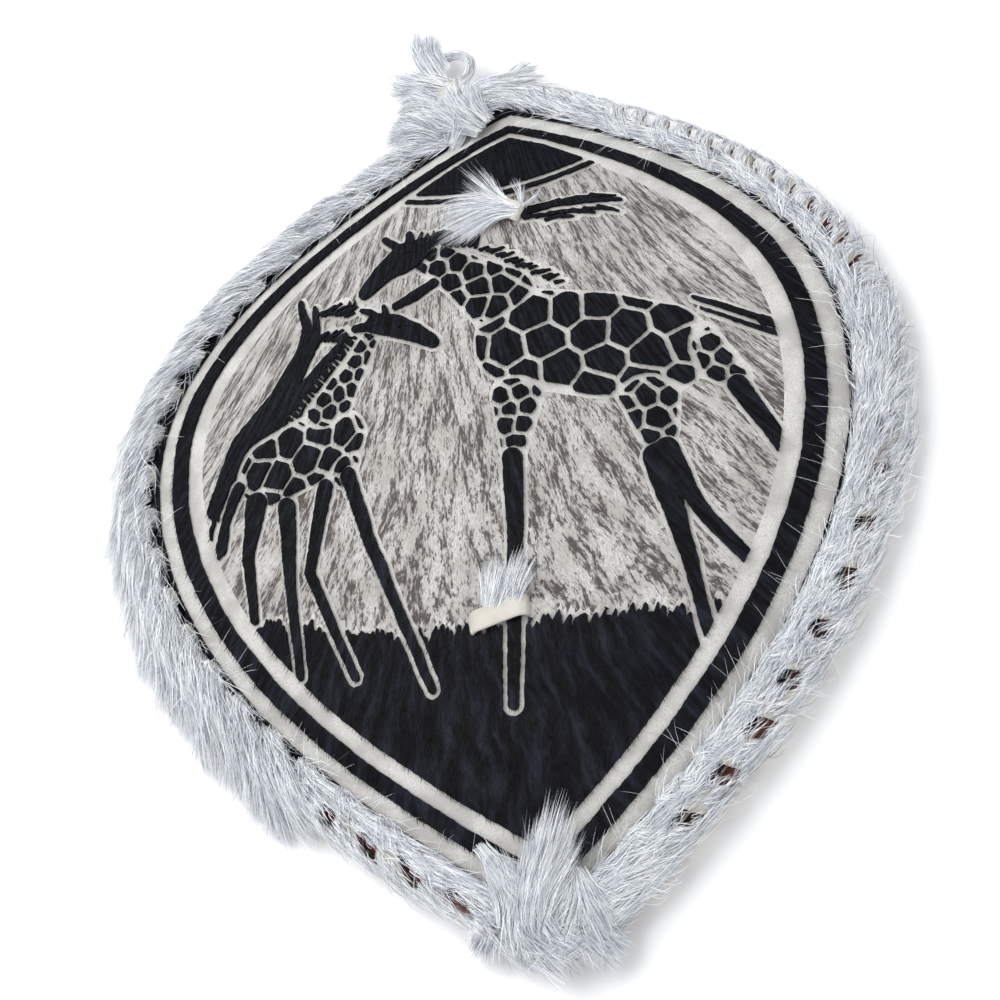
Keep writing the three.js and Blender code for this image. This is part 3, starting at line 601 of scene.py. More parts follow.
@dataclass(frozen=True)
class Drawing:
    """Where hair is left standing on the face: border stripes, lens, ground and figures.

    Attributes:
        form: The shield's form.
        outline: Width of the shaved line round a figure.
        gap: Width of the shaved lines between patches.
        shaved: How far patches stay inside their limb.
        step: Distance between samples.
        lens_foot: The lowest y of the lens.
        lens_sag: How much higher its edge is at its ends.
        lens_middle: The x of its middle.
        lens_half: Half of its width.
        line_from: How far below the lens the thin line starts.
        line_to: How far below it the line ends.
        boughs: Branches of solid hair.
        sprays: Leaves on them.
        ticks: Short cuts through them.
        horizon: x and y of the ground's upper edge.
    """

    form: ShieldForm
    outline: float = 3.2
    gap: float = 3.4
    shaved: float = 1.2
    step: float = 0.9
    lens_foot: float = 182.0
    lens_sag: float = 13.0
    lens_middle: float = 13.0
    lens_half: float = 60.0
    line_from: float = 4.5
    line_to: float = 7.5
    boughs: Sequence[Limb] = (
        ((-127, 134, 2), (-121, 112, 3.4), (-122, 94, 7), (-140, 66, 9), (-170, 42, 9), (-193, 4, 5)),
        ((-116, 126, 1.5), (-114, 112, 2.4), (-117, 98, 5)),
        ((-86, 98, 4), (-104, 80, 7), (-126, 60, 9), (-150, 46, 8)),
        ((26, 155, 1.2), (46, 158, 1.9), (66, 156.5, 1.7), (88, 153, 0.9)),
    )
    sprays: Sequence[Comb] = (
        Comb((26, 158), (70, 160), 7, (13, 2.5), 1.5),
        Comb((28, 152), (74, 150), 7, (13, -0.5), 1.5),
        Comb((40, 148), (62, 147), 3, (12, 1), 1.1),
        Comb((-114, 120), (-92, 112), 9, (12, 4), 0.9),
        Comb((-118, 100), (-96, 94), 8, (11, 7), 0.9),
        Comb((-190, 4), (-196, -12), 4, (-2, -14), 1.4),
    )
    ticks: Sequence[Comb] = (Comb((-87, 91), (-133, 47), 17, (-4.5, 4), 0.75),)
    horizon: Sequence[tuple[float, float]] = ((-240, -62), (-156, -77), (-69, -104), (100, -113), (240, -113))

    def lens(self, x: Array, y: Array) -> Array:
        """Returns the signed distance to the black lens under the top tip and the thin line below it."""
        drop = self.lens_foot + self.lens_sag * ((x - self.lens_middle) / self.lens_half) ** 2 - y
        return np.minimum(drop, np.maximum(self.line_from - drop, drop - self.line_to))

    def ground(self, x: Array, y: Array) -> Array:
        """Gives the signed distance to the black ground, whose upper edge is ragged with hair.

        Args:
            x: First coordinate.
            y: Second coordinate.

        Returns:
            Distances in the shape of x.
        """
        level = np.interp(x, *zip(*self.horizon))
        lean = x - 0.3 * y
        ragged = 3.5 * smooth_noise(lean, y * 0.1, 4.2, 11) + 4.5 * smooth_noise(lean, y * 0.12, 1.5, 12)
        return (y - level - ragged) * 0.6

    def figure_hair(self, x: Array, y: Array, figure: Figure, behind: Array) -> Array:
        """Lays a giraffe over what is behind it, with a shaved line round it.

        Args:
            x: First coordinate.
            y: Second coordinate.
            figure: The giraffe.
            behind: Signed distance to the hair already there.

        Returns:
            The new signed distance.
        """
        plain = limbs_distance(x, y, figure.plain)
        limbs = np.stack([limb_distance(x, y, limb) for _, limb in figure.coat])
        nearest, second = np.sort(limbs, axis=0)[:2]
        patches = np.full(x.shape, 10.0)
        for limb, (size, _) in zip(limbs, figure.coat):
            own = (limb == nearest) & (limb < 6)
            edge = np.minimum(patch_edge(x[own], y[own], size), (second[own] - nearest[own]) / 2)
            line = self.gap * (0.75 + 0.012 * size)
            patches[own] = np.maximum(limb[own] + self.shaved, line / 2 - edge)
        patched = np.maximum(patches, self.outline / 2 - plain)
        cleared = np.maximum(behind, self.outline - np.minimum(nearest, plain))
        solid = np.minimum(plain, strokes_distance(x, y, figure.hairs))
        solid = np.maximum(solid, -strokes_distance(x, y, figure.cuts))
        return np.minimum.reduce([cleared, patched, solid])

    def hair(self, x: Array, y: Array) -> Array:
        """Gives the signed distance to all standing hair, below zero in it.

        Args:
            x: First coordinate.
            y: Second coordinate.

        Returns:
            Distances in the shape of x.
        """
        wobble = 0.35 * smooth_noise(x, y, 2.6, 3) + 0.5 * smooth_noise(x, y, 14, 4)
        x, y = x + wobble, y + 0.35 * smooth_noise(x, y, 2.1, 5)
        form, stripe = self.form, self.form.stripe
        boughs = np.minimum(limbs_distance(x, y, self.boughs), strokes_distance(x, y, self.sprays))
        boughs = np.maximum(boughs, -strokes_distance(x, y, self.ticks))
        picture = np.minimum.reduce([self.ground(x, y), self.lens(x, y), boughs])
        for figure in (TALL_GIRAFFE, CALF):
            picture = self.figure_hair(x, y, figure, picture)
        picture = np.maximum(picture, form.inside(x, y, -2 * stripe))
        band = np.maximum(form.inside(x, y, 0), -form.inside(x, y, -stripe))
        return np.minimum.reduce([picture, band, -form.inside(x, y, stripe)])


def trace(values: Array, xs: Array, ys: Array) -> list[Array]:
    """Follows the zero line of a sampled field.

    Args:
        values: Samples, first index along x.
        xs: The x of each column.
        ys: The y of each row.

    Returns:
        Loops of x and y.
    """
    inside = values < 0
    corners = ((0, 0), (1, 0), (1, 1), (0, 1))
    filled = sum(inside[di:di - 1 or None, dj:dj - 1 or None].astype(int) for di, dj in corners)
    links = {}
    for i, j in np.argwhere((filled > 0) & (filled < 4)).tolist():
        sides = ((i, j, 0), (i + 1, j, 1), (i, j + 1, 0), (i, j, 1))  # the last number is 1 where a side runs along y
        flags = [inside[i + di, j + dj] for di, dj in corners]
        enter = [k for k in range(4) if not flags[k] and flags[(k + 1) % 4]]
        for out in range(4):
            if flags[out] and not flags[(out + 1) % 4]:
                links[sides[out]] = sides[enter[0] if len(enter) == 1 else (out + 3) % 4]
    loops = []
    while links:
        name, loop = next(iter(links)), []
        while name in links:
            i, j, up = name
            share = values[i, j] / (values[i, j] - values[i + 1 - up, j + up])
            loop.append((xs[i] + share * (xs[i + 1 - up] - xs[i]), ys[j] + share * (ys[j + up] - ys[j])))
            name = links.pop(name)
        loops.append(np.array(loop))
    return loops


# ---- Shared material effects ----


class Wiring:
    """Short hands for building a tree of shader nodes."""

    def __init__(self, tree: bpy.types.NodeTree) -> None:
        """Keeps the tree that nodes go into."""
        self.tree = tree

    def feed(self, socket: bpy.types.NodeSocket, source: object) -> None:
        """Gives a socket a link or a plain value.

        Args:
            socket: The input.
            source: Another node's output, or the value.
        """
        if isinstance(source, bpy.types.NodeSocket):
            self.tree.links.new(source, socket)
        else:
            socket.default_value = source

    def node(self, kind: str, feeds: dict | None = None, **settings: object) -> bpy.types.Node:
        """Adds a node.

        Args:
            kind: Its type.
            feeds: A link or a plain value for each of its inputs, by name or number.
            settings: Its properties.

        Returns:
            The node.
        """
        made = self.tree.nodes.new(kind)
        for label, value in settings.items():
            setattr(made, label, value)
        for label, source in (feeds or {}).items():
            self.feed(made.inputs[label], source)
        return made

    def math(self, operation: str, *terms: object) -> bpy.types.NodeSocket:
        """Adds a math node and returns its result."""
        return self.node("ShaderNodeMath", dict(enumerate(terms)), operation=operation).outputs[0]

    def times(self, a: object, b: object) -> bpy.types.NodeSocket:
        """Returns a product."""
        return self.math("MULTIPLY", a, b)

    def noise(self, place: object, scale: float, detail: float = 2.0, rough: float = 0.5) -> bpy.types.NodeSocket:
        """Adds a noise texture and returns its value."""
        feeds = {"Vector": place, "Scale": scale, "Detail": detail, "Roughness": rough}
        return self.node("ShaderNodeTexNoise", feeds).outputs["Fac"]

    def ramp(self, value: object, low: float, high: float) -> bpy.types.NodeSocket:
        """Stretches a value so that low becomes 0 and high 1, with soft ends."""
        feeds = {"Value": value, "From Min": low, "From Max": high}
        return self.node("ShaderNodeMapRange", feeds, interpolation_type="SMOOTHSTEP").outputs["Result"]

    def blend(self, share: object, a: object, b: object) -> bpy.types.NodeSocket:
        """Mixes two colours."""
        return self.node("ShaderNodeMix", {0: share, 6: a, 7: b}, data_type="RGBA").outputs[2]


class Group(Wiring):
    """A shader node group with a coordinate input, numbers, and outputs that are numbers."""

    def __init__(self, name: str, inputs: dict[str, float], outputs: Sequence[str]) -> None:
        """Starts the group.

        Args:
            name: The group's name.
            inputs: Name and starting value of each number.
            outputs: Names of the numbers that it gives.
        """
        super().__init__(bpy.data.node_groups.new(name, "ShaderNodeTree"))
        face = self.tree.interface
        face.new_socket("Place", in_out="INPUT", socket_type="NodeSocketVector")
        for label, value in inputs.items():
            face.new_socket(label, in_out="INPUT", socket_type="NodeSocketFloat").default_value = value
        for label in outputs:
            face.new_socket(label, in_out="OUTPUT", socket_type="NodeSocketFloat")
        self.given = self.node("NodeGroupInput").outputs
        self.made = self.node("NodeGroupOutput").inputs


def hair_flow_group() -> bpy.types.NodeTree:
    """Makes streaks that follow the hair of the hide, down and outward from its middle line.

    Returns:
        A group with inputs Place, Across and Along and outputs Fine and Broad.
    """
    group = Group("hair_flow", {"Across": 400.0, "Along": 60.0}, ("Fine", "Broad"))
    given, times = group.given, group.times
    split = group.node("ShaderNodeSeparateXYZ", {0: given["Place"]}).outputs
    growth = group.math("EXPONENT", times(split["Y"], 5.0))
    spread = times(split["X"], growth)
    wave = times(group.math("SUBTRACT", group.noise(given["Place"], 26.0, 1.0), 0.5), 0.008)
    spread = group.math("ADD", spread, wave)
    for label, factor in (("Fine", 1.0), ("Broad", 0.22)):
        joined = group.node("ShaderNodeCombineXYZ")
        across, along = times(given["Across"], factor), times(given["Along"], factor * 1.3)
        group.feed(joined.inputs["X"], times(spread, across))
        group.feed(joined.inputs["Y"], times(split["Y"], along))
        group.feed(group.made[label], group.noise(joined.outputs[0], 1.0, 3.0, 0.6))
    return group.tree


def speckle_group() -> bpy.types.NodeTree:
    """Makes the specks, blotches and grain of bare skin.

    Returns:
        A group with inputs Place and Scale and outputs Specks, Blotches and Grain.
    """
    group = Group("skin_speckle", {"Scale": 1.0}, ("Specks", "Blotches", "Grain"))
    scaled = {0: group.given["Place"], "Scale": group.given["Scale"]}
    place = group.node("ShaderNodeVectorMath", scaled, operation="SCALE").outputs[0]
    group.feed(group.made["Specks"], group.ramp(group.noise(place, 900.0, 2.0, 0.6), 0.56, 0.68))
    group.feed(group.made["Blotches"], group.noise(place, 38.0, 3.0, 0.55))
    group.feed(group.made["Grain"], group.noise(place, 1300.0, 2.0, 0.6))
    return group.tree


@dataclass(frozen=True)
class Effects:
    """The node groups that more than one material uses, built once."""

    hair_flow: bpy.types.NodeTree = field(default_factory=hair_flow_group)
    speckle: bpy.types.NodeTree = field(default_factory=speckle_group)


class Paint(Wiring):
    """A material in the making."""

    def __init__(self, name: str) -> None:
        """Starts the material.

        Args:
            name: Its name.
        """
        self.material = bpy.data.materials.new(name)
        self.material.use_nodes = True
        super().__init__(self.material.node_tree)
        self.shader = self.tree.nodes["Principled BSDF"].inputs
        self.place = self.node("ShaderNodeTexCoord").outputs["Object"]

    def effect(self, group: bpy.types.NodeTree, **values: float) -> bpy.types.bpy_prop_collection:
        """Places a shared group and returns its outputs."""
        return self.node("ShaderNodeGroup", {"Place": self.place, **values}, node_tree=group).outputs

    def done(self, colour: object, rough: object, height: object = None, depth: float = 0.0006,
             strength: float = 0.6) -> bpy.types.Material:
        """Feeds the shader.

        Args:
            colour: Its base colour.
            rough: Its roughness.
            height: What bumps it, if anything does.
            depth: How deep the bumps are, in metres.
            strength: Share of their effect.

        Returns:
            The material.
        """
        self.feed(self.shader["Base Color"], colour)
        self.feed(self.shader["Roughness"], rough)
        if height is not None:
            bump = self.node("ShaderNodeBump", {"Strength": strength, "Distance": depth, "Height": height})
            self.feed(self.shader["Normal"], bump.outputs["Normal"])
        return self.material


# ---- Finishes ----


@dataclass(frozen=True)
class ScrapedSkin:
    """Pale scraped hide, with brown-grey stubble left in streaks inside the picture."""

    effects: Effects
    pale: Colour = (0.62, 0.61, 0.58, 1)
    shade: Colour = (0.42, 0.405, 0.38, 1)
    stubble: Colour = (0.045, 0.035, 0.032, 1)
    brown: Colour = (0.27, 0.245, 0.23, 1)
    streaks: tuple[float, float] = (0.47, 0.58)

    def material(self, name: str, stubbled: bool) -> bpy.types.Material:
        """Makes the finish.

        Args:
            name: The material's name.
            stubbled: Whether stubble is left in streaks.

        Returns:
            The material.
        """
        paint = Paint(name)
        times, ramp = paint.times, paint.ramp
        speckle = paint.effect(self.effects.speckle, Scale=1.0)
        colour = paint.blend(ramp(speckle["Blotches"], 0.4, 0.65), self.pale, self.shade)
        colour = paint.blend(times(speckle["Specks"], 0.55), colour, self.brown)
        colour = paint.blend(times(ramp(speckle["Grain"], 0.38, 0.62), 0.65), colour, self.shade)
        height = speckle["Grain"]
        if stubbled:
            flow = paint.effect(self.effects.hair_flow, Across=560.0, Along=95.0)
            fine = paint.effect(self.effects.hair_flow, Across=1500.0, Along=260.0)["Fine"]
            patch = ramp(flow["Broad"], 0.28, 0.7)
            colour = paint.blend(times(patch, 0.45), colour, self.brown)
            colour = paint.blend(times(ramp(fine, 0.42, 0.6), 0.5), colour, self.brown)
            lines = ramp(paint.math("ADD", times(fine, 0.65), times(patch, 0.22)), 0.36, 0.48)
            mix = paint.math("ADD", times(flow["Fine"], 0.7), times(flow["Broad"], 0.34))
            streaks = times(ramp(mix, *self.streaks), lines)
            colour = paint.blend(times(streaks, 0.92), colour, self.stubble)
            height = paint.math("ADD", height, streaks)
        return paint.done(colour, 0.82, height)


@dataclass(frozen=True)
class BlackHair:
    """Short glossy cow hair that lies close to the hide."""

    effects: Effects
    black: Colour = (0.003, 0.003, 0.004, 1)
    sheen: Colour = (0.017, 0.019, 0.029, 1)

    def material(self, name: str) -> bpy.types.Material:
        """Makes the finish.

        Args:
            name: The material's name.

        Returns:
            The material.
        """
        paint = Paint(name)
        flow = paint.effect(self.effects.hair_flow, Across=1500.0, Along=110.0)
        colour = paint.blend(paint.ramp(flow["Broad"], 0.4, 0.75), self.black, self.sheen)
        paint.shader["Specular IOR Level"].default_value = 0.09
        rough = paint.math("MULTIPLY_ADD", flow["Fine"], 0.3, 0.36)
        return paint.done(colour, rough, flow["Fine"], 0.0012, 0.8)


@dataclass(frozen=True)
class GoatHair:
    """Long cool-white goat hair; each hair differs a little from the next, and its duller and nearly black hairs are
    partly the hair's own tone and partly painted shade for the shadow between locks and strands.
    """

    bright: Colour = (0.92, 0.935, 0.95, 1)
    # The duller colour and the nearly black one are partly the hair's own tone and partly painted shade, standing in
    # for the shadow between locks and strands.
    dull_and_shade: Colour = (0.46, 0.49, 0.54, 1)
    dark_and_shade: Colour = (0.1, 0.1, 0.12, 1)

    def material(self, name: str) -> bpy.types.Material:
        """Makes the finish.

        Args:
            name: The material's name.

        Returns:
            The material.
        """
        paint = Paint(name)
        each = paint.node("ShaderNodeNewGeometry").outputs["Random Per Island"]
        patch = paint.noise(paint.place, 90.0)
        # Painted shade in part: random values per hair and broad blotches pull the fur towards the duller colour,
        # partly the hair's own variation and partly shade painted in between locks.
        mix = paint.math("ADD", paint.times(each, 0.55), paint.times(patch, 0.45))
        colour = paint.blend(paint.ramp(mix, 0.25, 0.62), self.dull_and_shade, self.bright)
        # Painted shade in part: a narrow band of random values turns a few hairs nearly black, partly as real dark
        # hairs and partly as the dark lines of shadow between strands.
        colour = paint.blend(paint.ramp(each, 0.93, 0.94), colour, self.dark_and_shade)
        paint.shader["Specular IOR Level"].default_value = 0.35
        return paint.done(colour, 0.5)


@dataclass(frozen=True)
class GrainedSkin:
    """A grained and blotched finish: beige goatskin unless it is given other colours, or bark with specks."""

    effects: Effects
    light: Colour = (0.56, 0.535, 0.475, 1)
    worn: Colour = (0.4, 0.37, 0.32, 1)
    specks: Colour | None = None
    scale: float = 0.8
    blotches_from: float = 0.4
    rough: float = 0.78
    depth: float = 0.0006
    strength: float = 0.5

    def material(self, name: str) -> bpy.types.Material:
        """Makes the finish.

        Args:
            name: The material's name.

        Returns:
            The material.
        """
        paint = Paint(name)
        speckle = paint.effect(self.effects.speckle, Scale=self.scale)
        colour = paint.blend(paint.ramp(speckle["Blotches"], self.blotches_from, 0.7), self.light, self.worn)
        if self.specks:
            colour = paint.blend(paint.times(speckle["Specks"], 0.5), colour, self.specks)
        return paint.done(colour, self.rough, speckle["Grain"], self.depth, self.strength)


@dataclass
class Finishes:
    """Every material of the shield."""

    effects: Effects = field(default_factory=Effects)

    def __post_init__(self) -> None:
        """Builds the materials."""
        effects = self.effects
        skin, strip = ScrapedSkin(effects), GrainedSkin(effects)
        self.bare_skin = skin.material("scraped_skin", stubbled=False)
        self.stubbled_skin = skin.material("stubbled_skin", stubbled=True)
        self.back_skin = GrainedSkin(effects, (0.5, 0.43, 0.33, 1), (0.3, 0.24, 0.17, 1)).material("back_skin")
        self.black_hair = BlackHair(effects).material("black_hair")
        self.goat_hair = GoatHair().material("goat_hair")
        self.strip_skin, self.thong_skin = strip.material("strip_skin"), strip.material("thong_skin")
        bark = GrainedSkin(effects, (0.2, 0.05, 0.035, 1), (0.06, 0.022, 0.018, 1), (0.4, 0.28, 0.2, 1), scale=0.6,
                           blotches_from=0.35, rough=0.5, depth=0.0008, strength=0.6)
        self.bark = bark.material("bark")


# ---- Hide panel ----


@dataclass
class HidePanel:
    """The domed cowhide: shaved face, hair left standing in relief, bare back.

    Attributes:
        form: The shield's form.
        finishes: Its materials.
        edge_points: Points on each side of the hide's edge.
        picture_points: The same for the picture's edge.
        spacing: Distance between points that only follow the dome.
        clearance: How far those points stay off the outlines.
        clean: Width of clean skin round standing hair.
        shortest_loop: Outlines of so few points are left out.
        lumps: How much the standing hair's top rises and falls.
        sunk: How far its foot goes into the skin.
        hair_count: How many loose hairs are sown.
        hair_length: Their length.
        hair_width: Their width.
        hair_edge: How far out they are sown.
        fan: How far they turn outward, in radians for each millimetre off the middle.
    """

    form: ShieldForm
    finishes: Finishes
    edge_points: int = 320
    picture_points: int = 260
    spacing: float = 9.0
    clearance: float = 2.5
    clean: float = 2.4
    shortest_loop: int = 7
    lumps: float = 0.18
    sunk: float = 0.3
    hair_count: int = 52000
    hair_length: float = 4.2
    hair_width: float = 0.26
    hair_edge: float = 20.0
    fan: float = 0.003

    def plan(self) -> tuple[Array, Array, Array]:
        """Cuts the face's plan into triangles that follow every outline of the hair.

        Returns:
            Plan points, triangles, and for each triangle its middle's signed distance to the hair.
        """
        form, drawing = self.form, Drawing(self.form)
        xs, ys = form.lattice(drawing.step, 2, 3)
        gx, gy = np.meshgrid(xs, ys, indexing="ij")
        values = np.where(form.inside(gx, gy, form.edge - 1) > 0, 1.0, drawing.hair(gx, gy))
        loops = [form.ring(form.edge, self.edge_points), form.ring(-2 * form.stripe, self.picture_points)]
        for level in (0, self.clean):
            loops += [loop for loop in trace(values - level, xs, ys) if len(loop) > self.shortest_loop]
        links, start = [], 0
        for loop in loops:
            links += [(start + k, start + (k + 1) % len(loop)) for k in range(len(loop))]
            start += len(loop)
        outlines = np.vstack(loops)
        vectors = [Vector(point) for point in np.vstack([outlines, self.between(outlines)]).tolist()]
        verts, _, faces, *_ = delaunay_2d_cdt(vectors, links, [], 0, 1e-4)
        plan = np.array([tuple(v) for v in verts])
        triangles = np.array([face for face in faces if len(face) == 3])
        middle = plan[triangles].mean(axis=1)
        keep = form.inside(*middle.T, form.edge) < 0
        triangles, middle = triangles[keep], middle[keep]
        cell = np.clip((middle - (xs[0], ys[0])) / drawing.step, 0, (len(xs) - 2, len(ys) - 2))
        (i, j), (s, t) = cell.astype(int).T, (cell - cell.astype(int)).T
        value = sum(values[i + di, j + dj] * (s if di else 1 - s) * (t if dj else 1 - t)
                    for di in (0, 1) for dj in (0, 1))
        return plan, triangles, value

    def between(self, taken: Array) -> Array:
        """Gives points between the outlines, so that the face follows the dome.

        Args:
            taken: Points of the outlines.

        Returns:
            Rows of x and y, kept clear of the outlines.
        """
        gx, gy = np.meshgrid(*self.form.lattice(self.spacing, 0, 0), indexing="ij")
        spots = np.stack([gx.ravel(), gy.ravel()], axis=-1)
        spots += np.random.default_rng(5).uniform(-1.5, 1.5, spots.shape)
        spots = spots[self.form.inside(*spots.T, self.form.edge - 3) < 0]
        cells = set(map(tuple, np.floor(taken / self.clearance).tolist()))
        return spots[[tuple(cell) not in cells for cell in np.floor(spots / self.clearance).tolist()]]

    def raised(self, plan: Array, level: float | Array) -> Array:
        """Returns plan points raised onto the dome, a level above the shaved face."""
        return np.column_stack([plan, self.form.skin(*plan.T) + level])

    def build(self) -> list[bpy.types.Object]:
        """Makes the face, the standing hair, the back and the loose hairs.

        Returns:
            The pieces.
        """
        plan, triangles, value = self.plan()
        middle = plan[triangles].mean(axis=1)
        stubbled = (self.form.inside(*middle.T, -2 * self.form.stripe) < 0) & (value > self.clean)
        hairy = triangles[value < 0]
        pieces = []
        for name, chosen, finish in (
            ("hide_stripes", (value >= 0) & ~stubbled, self.finishes.bare_skin),
            ("hide_ground", stubbled, self.finishes.stubbled_skin),
        ):
            data = MeshData()
            data.add(self.raised(plan, 0.0), triangles=triangles[chosen])
            pieces.append(data.build(name, finish, self.form))
        pieces += [self.pile(plan, hairy), self.back(), self.short_hair(plan, hairy)]
        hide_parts("hide_panel")
        return pieces

    def pile(self, plan: Array, triangles: Array) -> bpy.types.Object:
        """Makes the standing hair as a layer with upright edges.

        Args:
            plan: Plan points.
            triangles: The triangles that hair covers.

        Returns:
            The piece.
        """
        top = self.raised(plan, self.form.pile + self.lumps * smooth_noise(*plan.T, 6.0, 21))
        base = self.raised(plan, -self.sunk)
        edges = np.vstack([triangles[:, pair] for pair in ([0, 1], [1, 2], [2, 0])])
        _, first, counts = np.unique(np.sort(edges, axis=1), axis=0, return_index=True, return_counts=True)
        a, b = edges[first[counts == 1]].T
        data = MeshData()
        data.add(top, triangles=triangles)
        data.add(np.concatenate([top[a], top[b], base[b], base[a]]), np.arange(4 * len(a)).reshape(4, -1)[::-1].T)
        return data.build("hide_hair_pile", self.finishes.black_hair, self.form)

    def back(self) -> bpy.types.Object:
        """Makes the underside and the cut edge of the hide.

        Returns:
            The piece.
        """
        form = self.form
        edge, middle = form.ring(form.edge, 90), np.array([0, form.waist])
        rings = [self.raised(edge, form.pile)]
        for share in np.linspace(1, 0.04, 26):
            rings.append(self.raised(middle + (edge - middle) * share, -form.thickness))
        points, quads, triangles = tube(np.stack(rings))
        data = MeshData()
        data.add(points, quads[:, ::-1], triangles[len(triangles) // 2:, ::-1])
        return data.build("hide_back", self.finishes.back_skin, form)

    def short_hair(self, plan: Array, triangles: Array) -> bpy.types.Object:
        """Makes short black hairs that lie down and outward over the standing hair.

        Args:
            plan: Plan points.
            triangles: The triangles that hair covers.

        Returns:
            The piece.
        """
        rng = np.random.default_rng(77)
        corners = plan[triangles]
        side_a, side_b = corners[:, 1] - corners[:, 0], corners[:, 2] - corners[:, 0]
        areas = np.abs(side_a[:, 0] * side_b[:, 1] - side_a[:, 1] * side_b[:, 0])
        pick = rng.choice(len(areas), self.hair_count, p=areas / areas.sum())
        u, v = rng.random(self.hair_count), rng.random(self.hair_count)
        flip = u + v > 1
        u[flip], v[flip] = 1 - u[flip], 1 - v[flip]
        root = corners[pick, 0] + side_a[pick] * u[:, None] + side_b[pick] * v[:, None]
        root = root[self.form.inside(*root.T, self.hair_edge) < 0]
        count = len(root)
        angle = -np.pi / 2 + self.fan * root[:, 0] + rng.normal(0, 0.16, count)
        angle += 0.25 * smooth_noise(*root.T, 40, 31)
        way = np.stack([np.cos(angle), np.sin(angle)], axis=-1)
        length = self.hair_length * rng.uniform(0.6, 1.2, count)
        flat = root[:, None, :] + way[:, None, :] * (length[:, None] * np.linspace(0, 1, 3))[..., None]
        lift = self.form.pile - 0.25 + np.array([0.0, 0.55, 0.62]) + rng.uniform(-0.1, 0.25, count)[:, None]
        widths = self.hair_width * np.array([1.0, 0.8, 0.1]) * rng.uniform(0.7, 1.2, count)[:, None]
        facing = unit(np.column_stack([rng.normal(0, 0.35, (count, 2)), np.ones(count)]))
        data = MeshData()
        data.hairs(lifted(flat, self.form.skin(flat[..., 0], flat[..., 1]) + lift), widths, facing)
        return data.build("hide_short_hair", self.finishes.black_hair, self.form)


# ---- Rim ----


@dataclass
class RimPath:
    """The rod's centre line on one side, followed anticlockwise."""

    form: ShieldForm
    side: Side
    offset: float = 31.0
    samples: int = 600

    def __post_init__(self) -> None:
        """Samples the line and its running length."""
        sign = self.side.value
        turn = np.pi * np.arange(self.samples + 1) / self.samples
        self.line = self.form.outline(sign, -sign * np.cos(turn), self.offset)
        self.lengths = running(self.line)
        self.length = float(self.lengths[-1])
        self.along = unit(np.gradient(self.line, axis=0))
        self.name = self.side.name.lower()

    def frame(self, distance: Array) -> tuple[Array, Array]:
        """Gives places on the line.

        Args:
            distance: Running lengths; past an end the line goes straight on.

        Returns:
            Points, and directions out of the shield.
        """
        inside = np.clip(distance, 0, self.length)
        point, along = (
            np.stack([np.interp(inside, self.lengths, rows[:, k]) for k in (0, 1)], axis=-1)
            for rows in (self.line, self.along)
        )
        along = unit(along)
        return point + along * (distance - inside)[..., None], np.stack([along[..., 1], -along[..., 0]], axis=-1)

    def place(self, distance: Array, out: Array, up: Array) -> Array:
        """Gives points beside the line.

        Args:
            distance: Running lengths.
            out: How far each point is moved out of the shield.
            up: Its height.

        Returns:
            Rows of x, y, z.
        """
        distance, out, up = np.broadcast_arrays(distance, out, up)
        point, outward = self.frame(distance)
        return lifted(point + outward * out[..., None], up)


@dataclass
class RimRod:
    """One half of the bent-wood rim."""

    path: RimPath
    finishes: Finishes
    radius: float = 5.5
    height: float = 10.5
    end_gap: float = 5.0

    def build(self) -> bpy.types.Object:
        """Makes the rod, with its swellings and bark.

        Returns:
            The piece.
        """
        distance = np.linspace(self.end_gap, self.path.length - self.end_gap, 260)
        s, a = np.meshgrid(distance, 2 * np.pi * np.arange(20) / 20, indexing="ij")
        radius = self.radius * (1 + 0.03 * smooth_noise(s, a * 0, 30, 8) + 0.02 * smooth_noise(s * 0.3, a * 3, 1.0, 9))
        data = MeshData()
        data.add(*tube(self.path.place(s, radius * np.cos(a), self.height + radius * np.sin(a))))
        piece = data.build(f"rod_{self.path.name}", self.finishes.bark, self.path.form)
        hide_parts(f"hoop_{self.path.name}")
        return piece


# ---- Long hair ----


